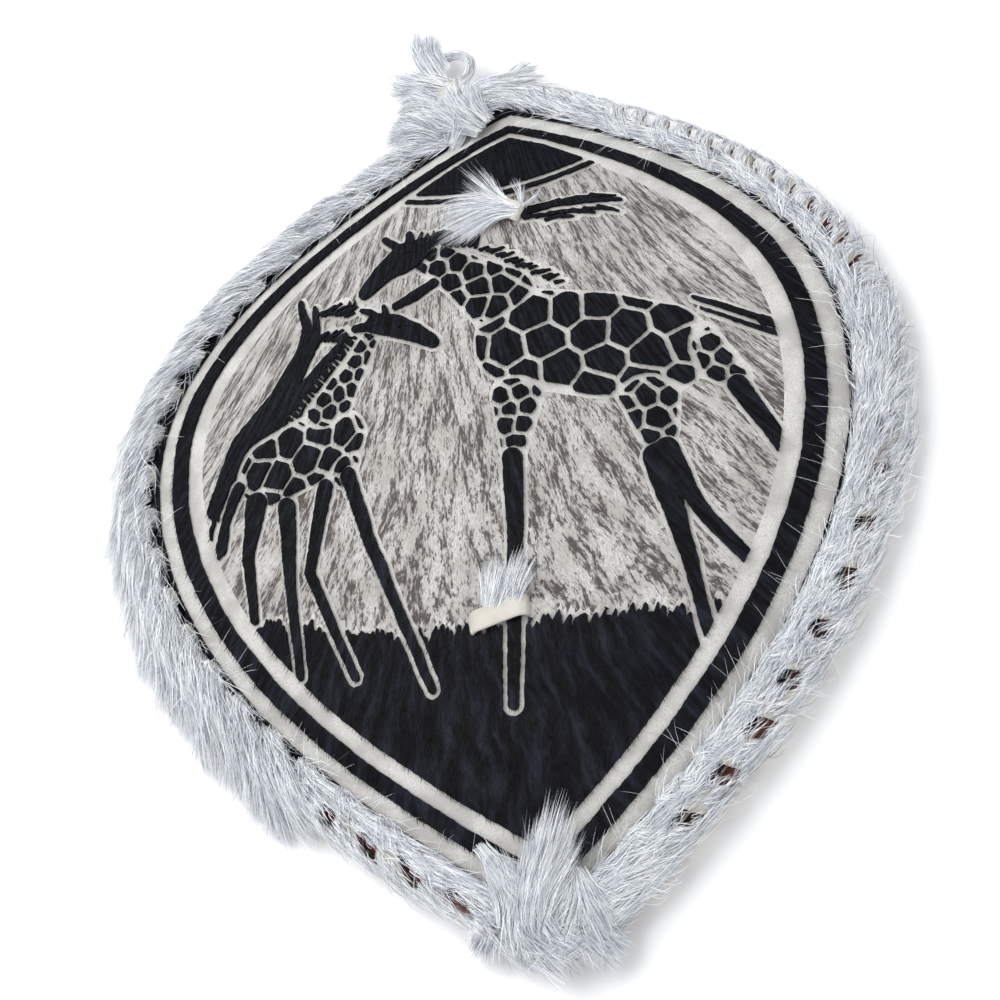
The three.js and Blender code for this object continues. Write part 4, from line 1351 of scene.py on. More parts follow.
@dataclass(frozen=True)
class Tress:
    """A lock of long hair that follows a spine.

    Attributes:
        spine: Keys of x, y, z and half width.
        hairs: How many hairs it has.
        depth: How thick it lies.
        rooted: Share of the spine that hairs grow from.
        flare: How much the hairs part towards their tips.
        stretch: Least and greatest share of the spine that a hair runs along.
        hair_width: Width of a hair.
        strand: How many hairs keep together.
        loose: Share of hairs that stray.
    """

    spine: Spine
    hairs: int
    depth: float = 4.0
    rooted: float = 0.6
    flare: float = 0.3
    stretch: tuple[float, float] = (0.35, 0.8)
    hair_width: float = 0.34
    strand: int = 16
    loose: float = 0.07

    def comb(self, data: MeshData, rng: np.random.Generator) -> None:
        """Adds the lock's hairs to a mesh.

        Args:
            data: The mesh.
            rng: Gives the scatter.
        """
        run = through(np.array(self.spine), 8)
        lengths = running(run[:, :3])
        share, whole = lengths / lengths[-1], lengths[-1]
        way = unit(np.gradient(run[:, :2], axis=0))
        count = self.hairs
        strand = rng.integers(0, max(3, count // self.strand), count)
        strands = strand.max() + 1
        strand_side = np.clip(rng.normal(0, 0.55, strands), -1.1, 1.1)
        strand_bend = rng.normal(0, 1, strands)
        strand_end = rng.uniform(0.7, 1.05, strands)
        root = rng.uniform(0, self.rooted, count)
        end = strand_end[strand] * rng.uniform(0.85, 1.15, count)
        tip = np.maximum(np.minimum(root + rng.uniform(*self.stretch, count), end), root + 0.12)
        t = np.linspace(0, 1, 5)[None, :]
        u = root[:, None] + (tip - root)[:, None] * t
        inside = np.clip(u, 0, 1)
        x, y, z, width, dx, dy = (np.interp(inside, share, row) for row in (*run.T, *way.T))
        ahead = (u - inside) * whole
        loose = rng.random(count) < self.loose
        across = np.clip(strand_side[strand] + rng.normal(0, 0.14, count), -1.2, 1.2)
        drift = strand_bend[strand] * 0.25 + rng.normal(0, 0.12, count) + loose * rng.normal(0, 0.9, count)
        lateral = width * (across[:, None] * (1 + self.flare * t**2) + drift[:, None] * t**1.5)
        level = rng.uniform(-0.3, 1, count) + loose * rng.uniform(0, 1, count)
        crown = np.sqrt(np.maximum(0.1, 1 - 0.7 * across**2))
        lift = self.depth * (level * crown)[:, None] * np.minimum(1, 0.3 + 2 * t)
        paths = [x + dx * ahead - dy * lateral, y + dy * ahead + dx * lateral, np.maximum(z + lift, 0.6)]
        thick = rng.uniform(0.55, 1.2, count) * np.where(loose, 0.6, 1.0)
        data.hairs(np.stack(paths, axis=-1), self.hair_width * TAPER * thick[:, None], upward(rng, 0.6, count))


# ---- Goatskin strips ----


@dataclass(frozen=True)
class Fleece:
    """How the long hair lies along one side of the rim, keyed by the share of the side already gone.

    Attributes:
        places: Shares of the side.
        reach: How far past the rod's centre line the hair ends.
        slant: Degrees that the hair turns outward from the rim's direction.
        cover: 1 where hair hides the strip, 0 where it leaves windows over the rod.
        length: Length of the hair.
    """

    places: Sequence[float]
    reach: Sequence[float]
    slant: Sequence[float]
    cover: Sequence[float]
    length: Sequence[float]

    def at(self, share: Array, label: str) -> Array:
        """Returns one of the keyed values at places along the side."""
        return np.interp(share, self.places, getattr(self, label))


LEFT_FLEECE = Fleece(
    places=(0, 0.1, 0.3, 0.5, 0.68, 0.755, 0.772, 0.9, 1),
    reach=(25, 24, 29, 37, 37, 35, 15, 12, 12),
    slant=(35, 32, 38, 42, 44, 44, 14, 10, 8),
    cover=(1, 1, 1, 1, 1, 1, 0.12, 0.15, 0.7),
    length=(26, 28, 34, 40, 41, 38, 26, 26, 24),
)
RIGHT_FLEECE = Fleece(
    places=(0, 0.08, 0.16, 0.25, 0.45, 0.55, 0.64, 0.86, 0.92, 1),
    reach=(11, 11, 11, 12, 15, 16, 13, 11, 13, 16),
    slant=(14, 16, 14, 14, 18, 16, 8, 8, 22, 34),
    cover=(0.9, 0.6, 0.15, 0.12, 0.4, 0.7, 0.1, 0.12, 0.8, 1),
    length=(28, 27, 25, 25, 26, 24, 20, 20, 24, 26),
)


# Heights by the distance out of the rod's centre line: the strip's surface, the thinnest and the fullest coat
# on it, the strip where it leaves a slit, and the fleece under stray hairs over the face and past the rim.
STRIP_TOP = ((-20, -15, -13, 2.5, 9, 11.5, 14, 20, 32), (24, 28, 32.3, 28.5, 21, 16, 11, 5, 0.8))
THIN_COAT = ((-20, -12, 2.5, 8, 12, 16, 22), (0.8, 3.2, 3.6, 4.5, 6, 5, 3.5))
FULL_COAT = ((-20, -12, 0, 8, 14, 20, 26, 34, 40), (2, 7, 9, 12, 16, 15, 12, 7, 4))
SLIT_TOP = ((-16.5, -15.2, -13.5, 0), (25, 31.5, 33.5, 31))
INNER_FLEECE = ((-16, -13), (0, 32))
OUTER_FLEECE = ((0, 12, 30), (30, 20, 4))


@dataclass
class Binding:
    """A strip of long-haired goatskin wound round one side of the rim through slits in the hide.

    Attributes:
        path: The rod's centre line.
        finishes: The materials.
        fleece: How the hair lies.
        start: How far along the rim the first turn starts.
        end: How far before the rim's end the last one ends.
        close: Shares of the side between which the strip is narrow and its turns lie twice as close.
        pitch: Distance from one turn to the next.
        hairs: How many hairs half of the side has.
        lock_size: How many hairs a lock has.
        hair_width: Width of a hair.
        stray_width: Width of a stray hair.
        first_root: How far in the innermost locks are rooted.
        rooted: Width of the band that locks are rooted on.
        inner: Where hair ends over the face.
        outer: How far out hairs are rooted.
        middle: Where the windows between turns are, across the strip.
        fan: Degrees that locks turn outward, more on the outer side.
        crossing: Degrees that hairs turn outward on the narrow strip.
        gather: How much a lock's hairs close up towards its tip.
        soft_end: Length over which hairs bend back at the fringe's end.
        turn: Keys of a turn: out, up, share of the pitch and width.
        section: The strip's section, as shares of its half width and heights over its middle.
    """

    path: RimPath
    finishes: Finishes
    fleece: Fleece
    start: float
    end: float
    close: tuple[float, float] = (2.0, 2.0)
    pitch: float = 31.5
    hairs: int = 17400
    lock_size: int = 24
    hair_width: float = 0.35
    stray_width: float = 0.17
    first_root: float = -13.5
    rooted: float = 24.0
    inner: float = -14.8
    outer: float = 11.0
    middle: float = 1.0
    fan: float = 17.0
    crossing: float = 62.0
    gather: float = 0.62
    soft_end: float = 4.0
    turn: Spine = (
        (-14.0, 31.5, 0.0, 14),
        (2.5, 27.0, 0.36, 21),
        (10.0, 16.0, 0.54, 24),
        (9.0, 5.0, 0.66, 21),
        (1.5, 1.5, 0.75, 19),
        (-8.5, 3.8, 0.83, 16),
        (-14.8, 16.0, 0.92, 14),
    )
    section: Sequence[tuple[float, float]] = (
        (-1, -1.4), (-0.5, -1.3), (0, -1.2), (0.5, -1.3), (1, -1.4), (1, -0.2), (0.5, 0.3), (0, 0.5), (-0.5, 0.3),
        (-1, -0.2),
    )

    def starts(self) -> Array:
        """Returns where each turn starts along the rim."""
        return self.start + np.arange(int((self.path.length - self.start - self.end) / self.pitch)) * self.pitch

    def narrow(self, share: Array) -> Array:
        """Returns whether the strip is narrow at shares of the side."""
        return (share > self.close[0]) & (share < self.close[1])

    def spiral(self, starts: Array, slimmer: float) -> Mesh:
        """Makes a run of turns.

        Args:
            starts: Where each turn starts.
            slimmer: Share of the strip's full width.

        Returns:
            Points, quads and triangles.
        """
        keys = [(out, up, start + share * self.pitch, width * slimmer)
                for start in starts for out, up, share, width in self.turn]
        out, up, _, width = self.turn[0]
        keys.append((out, up, starts[-1] + self.pitch, width * slimmer))
        out, up, distance, width = through(np.array(keys), 5).T
        width = width * 0.84 * (1 + 0.1 * smooth_noise(distance, out, 9, 41))
        slope = unit(np.gradient(np.column_stack([out, up]), axis=0))
        across, depth = np.array(self.section).T
        return tube(self.path.place(
            distance[:, None] + across * width[:, None] / 2,
            out[:, None] - depth * slope[:, 1:],
            up[:, None] + depth * slope[:, :1],
        ))

    def band(self) -> MeshData:
        """Makes the strip's skin, with turns twice as close where the strip is narrow.

        Returns:
            The mesh.
        """
        data = MeshData()
        starts = self.starts()
        close = np.flatnonzero(self.narrow(starts / self.path.length))
        first, last = (close[0], close[-1] + 1) if len(close) else (len(starts), len(starts))
        for group, slimmer in (
            (starts[:first], 1.0), (starts[first:last], 0.44), (starts[first:last] + self.pitch / 2, 0.4),
            (starts[last:], 1.0),
        ):
            if len(group):
                data.add(*self.spiral(group, slimmer))
        return data

    def window(self, distance: Array, strip: float = 0.28) -> Array:
        """Gives how deep in a window between two turns a place over the rod lies.

        Args:
            distance: Places along the rim.
            strip: Half of a turn's share of the pitch.

        Returns:
            1 in the middle of a window, 0 or less on the strip.
        """
        pitch = np.where(self.narrow(distance / self.path.length), self.pitch / 2, self.pitch)
        phase = (distance - self.start - 0.4 * self.pitch) / pitch
        return (np.abs(phase - np.round(phase)) - strip) / (0.5 - strip)

    def fur(self, low: float, high: float, seed: int) -> MeshData:
        """Makes the long hair over one stretch of the rim.

        Args:
            low: Where the stretch starts along the rim.
            high: Where it ends.
            seed: Picks the hairs.

        Returns:
            The mesh.
        """
        rng = np.random.default_rng(seed)
        # Locks, thinned out in the windows
        locks, tried = self.hairs // self.lock_size, 3 * (self.hairs // self.lock_size)
        lock_s = rng.uniform(low, high, tried)
        lock_r = self.first_root + self.rooted * rng.uniform(0, 1, tried) ** 1.15
        cover = self.fleece.at(lock_s / self.path.length, "cover")
        beside = np.clip(np.abs(lock_r - self.middle) / 6.0, 0, 1) ** 2.5
        bare = np.where(self.window(lock_s) > -0.2, beside, 1.0)
        kept = np.flatnonzero(rng.random(tried) < cover + (1 - cover) * bare)[:locks]
        lock_s, lock_r, cover, locks = lock_s[kept], lock_r[kept], cover[kept], len(kept)
        share = lock_s / self.path.length
        lock = rng.integers(0, locks, self.hairs)
        count = self.hairs
        fan = np.radians(self.fan) * (lock_r + 1) / 12 * (1.25 - 0.6 * cover)
        angle = np.radians(self.fleece.at(share, "slant")) + fan + rng.normal(0, 0.16, locks)
        length = self.fleece.at(share, "length") * rng.uniform(0.7, 1.2, locks)
        on_band = (np.abs(lock_r - self.middle) < 7) & (cover < 0.5)
        length *= np.where(on_band, 0.45, 1.0)
        angle += np.where(on_band & self.narrow(share), np.radians(self.crossing), 0.0)
        full = self.fleece.at(share, "reach")
        reach = full + rng.normal(0, 0.09, locks) * full
        bulk = np.clip((full - 11) / 16, 0, 1)
        bend = rng.normal(0, 2.4, locks)
        fluff = rng.uniform(0.4, 1.0, locks)
        # Hairs, gathered towards the middle of their lock
        beside = rng.normal(0, 2.3, count)
        distance = lock_s[lock] + beside
        out = np.clip(lock_r[lock] + rng.normal(0, 1.9, count), -14.5, self.outer)
        loose = rng.random(count) < 0.05
        heading = angle[lock] + rng.normal(0, 0.09, count) + loose * rng.normal(0, 0.5, count)
        run = length[lock] * rng.uniform(0.65, 1.12, count)
        depth = rng.uniform(0, 1, count) ** 0.8 + 0.35 * loose
        t = np.linspace(0, 1, 5)[None, :]
        gather = self.gather * t * ~loose[:, None]
        s = distance[:, None] - beside[:, None] * gather + (run * np.cos(heading))[:, None] * t
        curl = (bend[lock] + rng.normal(0, 0.8, count))[:, None] * t * (1.4 - t)
        r = out[:, None] - (out - lock_r[lock])[:, None] * gather + (run * np.sin(heading))[:, None] * t + curl
        # Kept between the fringe's end and the face, and off the windows
        soft = self.soft_end
        limit = (reach[lock] + rng.normal(0, 1.3, count) + 5 * loose)[:, None] - soft
        r = np.where(r > limit, limit + soft * np.tanh((r - limit) / soft), r)
        astray = rng.exponential(1.5, count) * (rng.random(count) < 0.12 + 0.25 * cover[lock])
        inner = (self.inner - cover[lock] + rng.normal(0, 0.7, count) - astray - 6 * loose)[:, None]
        r = np.where(r < inner + 2, inner + 2 * np.exp((r - inner - 2) / 2), r)
        over = (np.abs(r - 2.0) < 4.6) & (self.window(s) > rng.uniform(0, 0.5, (count, 1)))
        shown = ~(over.any(axis=1) & (rng.random(count) > cover[lock] + 0.04))
        s, r, lock, depth, distance = s[shown], r[shown], lock[shown], depth[shown], distance[shown]
        count = len(s)
        # Laid over the strip, the rod and the hide
        flat = self.path.place(s, r, 0 * r)
        strip = np.interp(r, *STRIP_TOP)
        base = np.where(r < -1.5, np.maximum(self.path.form.hair_top(flat) + 0.5, strip), strip)
        thin, full_coat = np.interp(r, *THIN_COAT), np.interp(r, *FULL_COAT)
        rise = (depth * fluff[lock])[:, None] * np.minimum(1, 3.5 * t + 0.05)
        z = np.maximum(base + (thin + (full_coat - thin) * bulk[lock][:, None]) * rise, 0.5 + 1.4 * depth[:, None])
        widths = self.hair_width * TAPER * rng.uniform(0.55, 1.25, count)[:, None]
        _, outward = self.path.frame(distance)
        facing = np.column_stack([outward * 0.45, np.ones(count)]) + rng.normal(0, 0.55, (count, 3))
        data = MeshData()
        data.hairs(lifted(flat, z), widths, unit(facing))
        return data

    def slit_tufts(self, data: MeshData, seed: int, each: int = 110) -> None:
        """Adds the short hair that hides the strip where it comes out of each slit.

        Args:
            data: The mesh that it goes into.
            seed: Picks the hairs.
            each: How many hairs a slit has.
        """
        rng = np.random.default_rng(seed)
        starts = np.repeat(self.starts(), each)
        count = len(starts)
        t = np.linspace(0, 1, 5)[None, :]
        distance = starts + rng.uniform(-7.5, 7.5, count)
        heading = rng.normal(0.62, 0.35, count)
        run = rng.uniform(9, 17, count)
        s = distance[:, None] + (run * np.cos(heading))[:, None] * t
        r = rng.uniform(-17.2, -13.0, count)[:, None] + (run * np.sin(heading))[:, None] * t
        flat = self.path.place(s, r, 0 * r)
        hide = np.where(r < -1.5, self.path.form.hair_top(flat), 0)
        proud = np.maximum(np.interp(r, *SLIT_TOP), hide)
        z = proud + rng.uniform(0.2, 2.2, count)[:, None] * (0.4 + t)
        widths = self.hair_width * TUFT_TAPER * rng.uniform(0.6, 1.2, count)[:, None]
        data.hairs(lifted(flat, z), widths, upward(rng, 0.5, count))

    def strays(self, data: MeshData, seed: int, count: int = 300) -> None:
        """Adds single long hairs that stand off the fleece, some of them over the face.

        Args:
            data: The mesh that they go into.
            seed: Picks them.
            count: How many there are.
        """
        rng = np.random.default_rng(seed)
        distance = rng.uniform(10, self.path.length - 10, count)
        inward = rng.random(count) < 0.6
        out = np.where(inward, -14.0, rng.uniform(6, 14, count))
        heading = np.where(inward, rng.normal(-0.9, 0.7, count), rng.normal(0.7, 0.5, count))
        run = rng.uniform(12, 30, count) * np.where(inward, 1.0, 0.6)
        t = np.linspace(0, 1, 7)[None, :]
        s = distance[:, None] + (run * np.cos(heading))[:, None] * t
        bend = rng.normal(0, 4, count)[:, None] * t * (1 - t)
        r = out[:, None] + (run * np.sin(heading))[:, None] * t + bend
        flat = self.path.place(s, r, 0 * r)
        face = np.maximum(self.path.form.hair_top(flat) + 0.4, np.interp(r, *INNER_FLEECE))
        base = np.where(r < -1, face, np.interp(r, *OUTER_FLEECE))
        z = base + rng.uniform(1, 7, count)[:, None] * np.sin(np.pi * 0.6 * t)
        widths = np.full((count, 7), self.stray_width) * STRAY_TAPER
        data.hairs(lifted(flat, z), widths, upward(rng, 0.4, count))

    def build(self) -> list[bpy.types.Object]:
        """Makes the strip and its fur.

        Returns:
            The pieces.
        """
        path, name, side = self.path, self.path.name, self.path.side.value
        skin = self.band().build(f"strip_{name}", self.finishes.strip_skin, path.form)
        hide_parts(f"binding_{name}")
        first = self.fur(2.0, path.length / 2, 100 * side + 301)
        self.strays(first, 40 + side)
        second = self.fur(path.length / 2, path.length - 6.0, 100 * side + 302)
        self.slit_tufts(second, 80 + side)
        fur = self.finishes.goat_hair
        return [skin] + [data.build(f"fur_{name}_{k}", fur, path.form) for k, data in ((1, first), (2, second))]


# ---- Knots and grip ----


@dataclass
class Knots:
    """The hanging loop past the top tip and the crossed bands over the bottom tip.

    Attributes:
        ring: The loop's middle and radius.
        ring_start: Angle at which its spine starts, in radians.
        layer: How far over the hair a band lies on the bottom tip.
        brink: The y below which a band leads down over the rim.
        slope: How fast it leads down.
    """

    form: ShieldForm
    finishes: Finishes
    ring: tuple[float, float, float] = (-20.0, 299.0, 12.0)
    ring_start: float = -1.9
    layer: float = 5.2
    brink: float = -270.0
    slope: float = 0.55

    def ring_spine(self, turns: float, half: float, level: float) -> Spine:
        """Gives a spine that goes round the loop.

        Args:
            turns: How many times it goes round.
            half: Its half width.
            level: Its height.

        Returns:
            Keys of x, y, z and half width.
        """
        x, y, radius = self.ring
        angle = np.linspace(self.ring_start, self.ring_start + 2 * math.pi * turns, int(12 * turns) + 2)
        return [(x + radius * math.cos(a), y + radius * math.sin(a), level, half) for a in angle]

    def laid(self, places: Sequence[tuple[float, float, float]], rise: float) -> Spine:
        """Lays a spine over the bottom tip.

        Args:
            places: Keys of x, y and half width.
            rise: Height over the first layer.

        Returns:
            Keys of x, y, z and half width.
        """
        lift = self.form.pile + self.layer
        return [(x, y, self.form.skin(x, y) + lift - max(0.0, self.brink - y) * self.slope + rise, half)
                for x, y, half in places]

    def tie(self, name: str, bands: Sequence[Spine], locks: Sequence[Tress], seed: int) -> list[bpy.types.Object]:
        """Makes the skin and the hair of one knot.

        Args:
            name: What its two pieces' names start with.
            bands: The strips of skin.
            locks: The locks of hair.
            seed: Picks the hairs.

        Returns:
            The pieces.
        """
        skin, hair, rng = MeshData(), MeshData(), np.random.default_rng(seed)
        for band in bands:
            skin.add(*flat_band(band))
        for lock in locks:
            lock.comb(hair, rng)
        return [
            skin.build(f"{name}_skin", self.finishes.strip_skin, self.form),
            hair.build(f"{name}_hair", self.finishes.goat_hair, self.form),
        ]

    def top(self) -> list[bpy.types.Object]:
        """Makes the hanging loop, its tails and the puff beside it.

        Returns:
            The pieces.
        """
        base = [(-8, 243, 33, 6), (-18, 254, 33, 7), (-22, 268, 32, 7), (-23, 282, 26, 6), (-24, 290, 20, 4)]
        return self.tie("loop", (base, self.ring_spine(1.0, 2.2, 19)), (
            Tress([(4, 236, 36, 8), (-6, 246, 37, 10), (-14, 260, 37, 11), (-19, 274, 33, 10)], 2400, 6, 0.7),
            Tress([(-24, 228, 30, 4), (-14, 240, 36, 6), (-8, 256, 37, 7), (4, 270, 30, 7)], 900, 5, 0.6, 0.6),
            Tress([(-12, 262, 34, 7), (4, 266, 33, 8), (26, 262, 28, 8), (52, 256, 22, 6)], 1100, 6, 0.6, 0.5),
            Tress(self.ring_spine(1.25, 2.6, 20), 2400, 3.0, 0.85, 0.3, (0.08, 0.2)),
            Tress([(-20, 278, 28, 6), (-40, 288, 24, 8), (-58, 300, 18, 7), (-68, 314, 13, 3)], 1300, 5, 0.6, 0.7),
            Tress([(-28, 288, 24, 6), (-38, 306, 23, 6), (-44, 326, 20, 4), (-46, 342, 16, 2)], 800, 4, 0.6, 0.7),
            Tress([(-24, 296, 24, 4), (-34, 316, 22, 4), (-34, 338, 18, 2.5)], 550, 4, 0.6, 0.8),
            Tress([(16, 268, 30, 7), (30, 278, 24, 6), (44, 284, 18, 4)], 420, 5, 0.5, 1.0),
            Tress([(-26, 240, 33, 7), (-40, 250, 33, 11), (-58, 262, 22, 11), (-68, 270, 10, 8)], 2000, 9, 0.7, 0.5),
            Tress([(-30, 262, 33, 8), (-48, 272, 28, 9), (-64, 280, 16, 6)], 900, 6, 0.6, 0.6),
        ), 61)

    def bottom(self) -> list[bpy.types.Object]:
        """Makes the crossed bands, their tails and the tuft that lies up the face.

        Returns:
            The pieces.
        """
        laid = self.laid
        falling = [(-27, -233, 4), (-22, -240, 7), (-8, -256, 8), (8, -272, 8), (20, -284, 6)]
        rising = [(16, -247, 3.5), (15, -252, 6), (10, -262, 7.5), (0, -275, 8), (-14, -285, 6)]
        up_face = [(-12, -282, 8), (-8, -266, 10), (0, -248, 9), (9, -232, 8), (17, -214, 6)]
        return self.tie("tip_knot", (
            laid([(-29, -230, 4)], -8) + laid(falling, 0),
            laid([(16, -243, 3)], -9) + laid(rising, 1.5),
            [(-2, -265, 33, 7), (-2, -280, 27, 6), (-1, -290, 14, 3)],
        ), (
            Tress(laid([(-33, -224, 4)] + falling, 2), 1500, 5, 0.75, 0.4),
            Tress(laid([(18, -243, 5), (20, -256, 8), (23, -270, 8), (26, -281, 6)], 2), 1300, 5, 0.7, 0.4),
            Tress(laid(up_face, 5), 1900, 5, 0.55, 0.6, (0.3, 0.85)),
            Tress(laid([(-24, -270, 6), (-20, -256, 7), (-22, -242, 6), (-26, -230, 4)], 4), 600, 4, 0.5, 0.7),
            Tress(laid(rising, 3.5), 900, 4, 0.7, 0.4),
            Tress([(18, -272, 28, 8), (28, -282, 18, 8), (36, -290, 9, 5)], 900, 6, 0.6, 0.7),
            Tress([(-30, -262, 26, 7), (-42, -272, 18, 7), (-52, -280, 7, 4)], 700, 5, 0.6, 0.8),
            Tress([(-14, -262, 36, 9), (-12, -276, 30, 10), (-8, -288, 14, 8)], 1300, 6, 0.7, 0.4),
            Tress([(2, -264, 37, 9), (8, -278, 28, 9), (16, -290, 10, 7)], 1200, 6, 0.7, 0.4),
        ), 62)


@dataclass
class HandGrip:
    """The goatskin strap behind the hide, its flap and staple on the face, and their tufts.

    Attributes:
        form: The shield's form.
        finishes: Its materials.
        width: The strap's width.
        thickness: Its thickness.
        slack: How far behind the hide it hangs at its middle.
        upper: x and y of the upper slit, and its angle in radians.
        staple: x and y of the two lower slits.
        tufts: Number of hairs and keys of x, y and half width of each tuft.
    """

    form: ShieldForm
    finishes: Finishes
    width: float = 13.0
    thickness: float = 3.0
    slack: float = 29.0
    upper: tuple[float, float, float] = (25.0, 156.0, 1.05)
    staple: tuple[float, float, float, float] = (-24.0, -104.0, 9.0, -98.0)
    tufts: Sequence[tuple[int, Limb]] = (
        (170, ((26, 157, 2.5), (14, 166, 4), (2, 182, 5), (-10, 200, 4))),
        (480, ((26, 156, 3.5), (8, 160, 6.5), (-10, 156, 7.5), (-32, 148, 5))),
        (240, ((24, 157, 3), (6, 165, 6), (-14, 168, 6), (-34, 166, 4))),
        (40, ((26, 158, 2.5), (24, 170, 4), (20, 182, 3))),
        (26, ((28, 157, 2), (38, 162, 3), (44, 170, 3))),
        (300, ((-12, -100, 7), (-8, -88, 8), (-2, -66, 6))),
        (190, ((2, -98, 6), (6, -86, 7), (16, -66, 5))),
    )

    def face(self, x: float, y: float, extra: float = 0.0) -> float:
        """Returns the height of the strap's middle where it lies on the face."""
        return self.form.skin(x, y) + self.form.pile + 0.5 + self.thickness / 2 + extra

    def hide(self, x: float, y: float, move: float) -> float:
        """Returns a height measured from the middle of the hide's thickness."""
        return self.form.skin(x, y) - self.form.thickness / 2 + move

    def places(self) -> Array:
        """Lists the strap's keys, from the flap to the staple's end.

        Returns:
            Rows of x, y, z and the angle of the strap's width.
        """
        x, y, angle = self.upper
        left, left_y, right, right_y = self.staple
        quarter, back = -math.pi / 2, -self.form.thickness / 2
        flap = [(x + dx, y + dy, self.face(x + dx, y + dy, extra), angle)
                for dx, dy, extra in ((-26, 15, 0), (-12, 7, 0), (-3, 1.7, 0.2))]
        slit = [(x + dx, y + dy, self.hide(x, y, move), angle * turn)
                for dx, dy, move, turn in ((0.3, -0.2, 4, 1), (0, 0, 0, 1), (-1, -3, back - 7, 0.9))]
        arch = [(ax, ay, self.hide(ax, ay, back - drop), turn) for ax, ay, drop, turn in (
            (22, 138, 14, angle * 0.6), (15, 95, 25, 0), (6, 40, self.slack + 4, 0), (-4, -15, self.slack, 0),
            (-14, -60, 20, -0.4), (-23, -90, 12, -1.1),
        )]
        return np.array(flap + slit + arch + [
            (left - 1.5, left_y, self.hide(left, left_y, back - 5), -1.5),
            (left, left_y, self.hide(left, left_y, 0), quarter),
            (left + 0.5, left_y, self.hide(left, left_y, 4.5), quarter),
            (left + 4, left_y + 0.5, self.face(left, left_y, 1), quarter),
            (right - 4, right_y - 0.5, self.face(right, right_y, 1), quarter),
            (right - 0.5, right_y, self.hide(right, right_y, 4.5), quarter),
            (right, right_y, self.hide(right, right_y, 0), quarter),
            (right + 0.5, right_y, self.hide(right, right_y, back - 14), quarter),
        ])

    def strap(self) -> Mesh:
        """Makes the strap with rounded edges.

        Returns:
            Points, quads and triangles.
        """
        keys = self.places()
        share = np.linspace(0, len(keys) - 1, 5 * len(keys))
        run = np.stack([np.interp(share, np.arange(len(keys)), column) for column in keys.T], axis=-1)
        centre, angle = run[:, :3], run[:, 3]
        across = np.column_stack([np.cos(angle), np.sin(angle), 0 * angle])
        flat = unit(np.cross(unit(np.gradient(centre, axis=0)), across))
        wide, deep = rounded(12, 0.4, 0.7)
        wide, deep = wide * self.width / 2, deep * self.thickness / 2
        return tube(centre[:, None] + across[:, None] * wide[None, :, None] + flat[:, None] * deep[None, :, None])

    def build(self) -> list[bpy.types.Object]:
        """Makes the strap and its hair.

        Returns:
            The pieces.
        """
        data, hair, rng = MeshData(), MeshData(), np.random.default_rng(63)
        data.add(*self.strap())
        strap = data.build("grip_strap", self.finishes.thong_skin, self.form)
        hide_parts("hand_grip")
        for count, spine in self.tufts:
            laid = [(x, y, self.face(x, y, 0.8), half) for x, y, half in spine]
            Tress(laid, count, 2.6, 0.25, 0.9, (0.4, 1.0), 0.3).comb(hair, rng)
        return [strap, hair.build("grip_hair", self.finishes.goat_hair, self.form)]


# ---- Studio ----


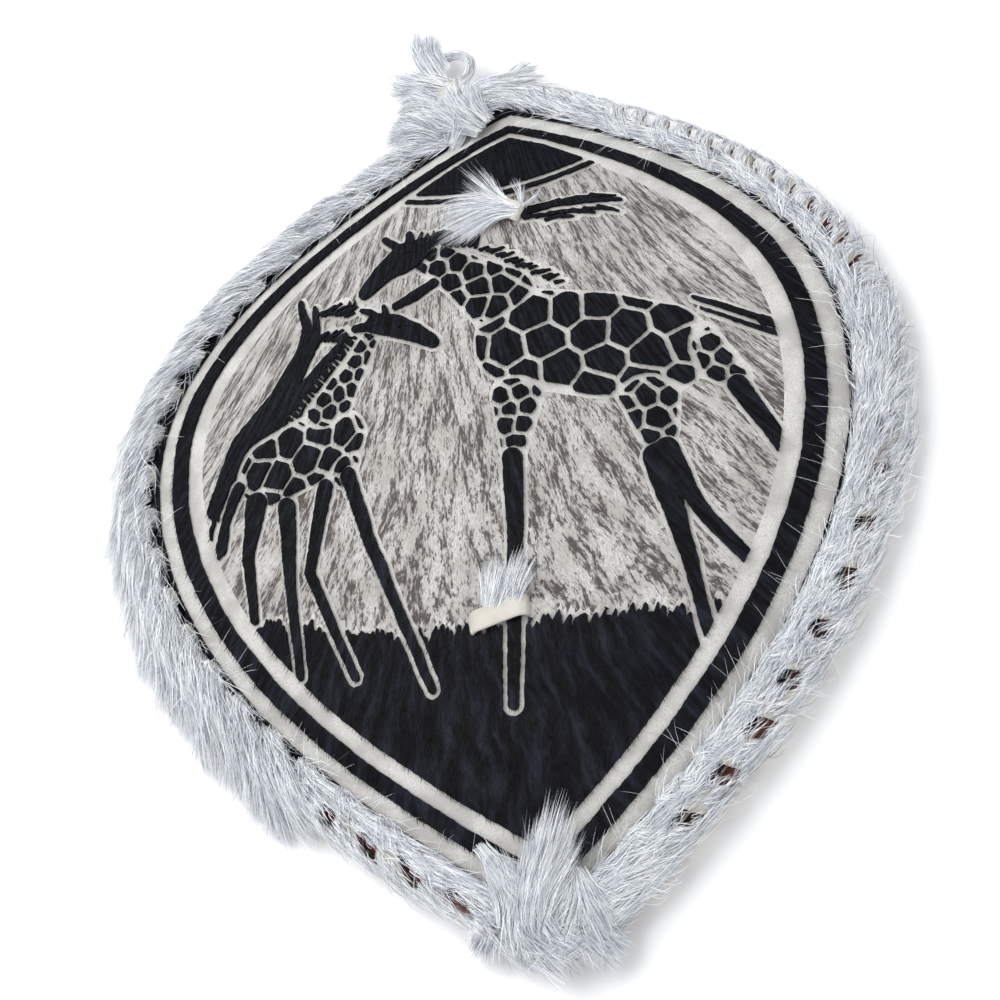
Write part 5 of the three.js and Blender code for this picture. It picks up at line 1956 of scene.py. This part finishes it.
@dataclass
class Studio:
    """Pale floor, soft lights and the camera."""

    form: ShieldForm
    azimuth: float = 35.0
    elevation: float = 62.0
    roll: float = -43.0
    distance: float = 1.0
    lens: float = 60.0
    aim: tuple[float, float, float] = (-11.8, -17.5, 20.0)

    def floor(self) -> None:
        """Lays the floor that the shield lies on."""
        bpy.ops.mesh.primitive_plane_add(size=12, location=(0, 0, -0.0005))
        plane = bpy.context.object
        plane.name = "floor"
        paint = Paint("floor")
        tone = paint.blend(paint.noise(paint.place, 3.0), (0.86, 0.86, 0.86, 1), (0.9, 0.9, 0.9, 1))
        plane.data.materials.append(paint.done(tone, 0.9))

    def hold(self, name: str, data: bpy.types.ID, place: Vector, turn: Quaternion) -> bpy.types.Object:
        """Puts a light or a camera in the scene.

        Args:
            name: The object's name.
            data: The light or the camera.
            place: Where it stands.
            turn: Which way it is turned.

        Returns:
            The object.
        """
        holder = bpy.data.objects.new(name, data)
        holder.location, holder.rotation_euler = place, turn.to_euler()
        bpy.context.scene.collection.objects.link(holder)
        return holder

    def lamp(self, name: str, place: tuple[float, float, float], size: float, power: float) -> None:
        """Hangs a soft square light that points at the shield.

        Args:
            name: Its name.
            place: Where it hangs, in metres.
            size: Its width.
            power: Its power in watts.
        """
        light = bpy.data.lights.new(name, "AREA")
        light.size, light.energy = size, power
        self.hold(name, light, place, (-Vector(place)).to_track_quat("-Z", "Y"))

    def camera(self) -> None:
        """Places the camera."""
        azimuth, elevation = math.radians(self.azimuth), math.radians(self.elevation)
        level = math.cos(elevation)
        back = Vector((math.sin(azimuth) * level, -math.cos(azimuth) * level, math.sin(elevation)))
        target = Vector(((np.array(self.aim) + self.form.origin()) * MILLIMETRE).tolist())
        data = bpy.data.cameras.new("camera")
        data.lens, data.sensor_width = self.lens, 36.0
        turned = (-back).to_track_quat("-Z", "Y") @ Quaternion((0, 0, 1), math.radians(self.roll))
        bpy.context.scene.camera = self.hold("camera", data, target + back * self.distance, turned)

    def build(self) -> None:
        """Makes the whole studio."""
        self.floor()
        self.lamp("key_light", (-0.9, 0.6, 1.9), 1.6, 38)
        self.lamp("fill_light", (1.4, -1.0, 1.5), 2.0, 14)
        bpy.context.scene.view_settings.view_transform = "Standard"
        world = bpy.data.worlds.new("studio")
        world.use_nodes = True
        sky = world.node_tree.nodes["Background"].inputs
        sky["Color"].default_value, sky["Strength"].default_value = (0.95, 0.97, 1.0, 1), 0.75
        bpy.context.scene.world = world
        self.camera()


def report(pieces: Sequence[bpy.types.Object]) -> None:
    """Logs the name and triangle count of each piece."""
    for piece in pieces:
        LOG.info("%s: %d triangles", piece.name, len(piece.data.loops) - 2 * len(piece.data.polygons))


def main() -> None:
    """Builds every piece in order."""
    logging.basicConfig(level=logging.INFO, format="%(name)s %(message)s")
    form, finishes = ShieldForm(), Finishes()
    report(HidePanel(form, finishes).build())
    left, right = RimPath(form, Side.LEFT), RimPath(form, Side.RIGHT)
    report([RimRod(path, finishes).build() for path in (left, right)])
    report(Binding(left, finishes, LEFT_FLEECE, start=24.0, end=60.0).build())
    report(Binding(right, finishes, RIGHT_FLEECE, start=40.0, end=34.0, close=(0.58, 0.9)).build())
    knots = Knots(form, finishes)
    report(knots.top() + knots.bottom())
    report(HandGrip(form, finishes).build())
    Studio(form).build()


if __name__ == "__main__":
    main()
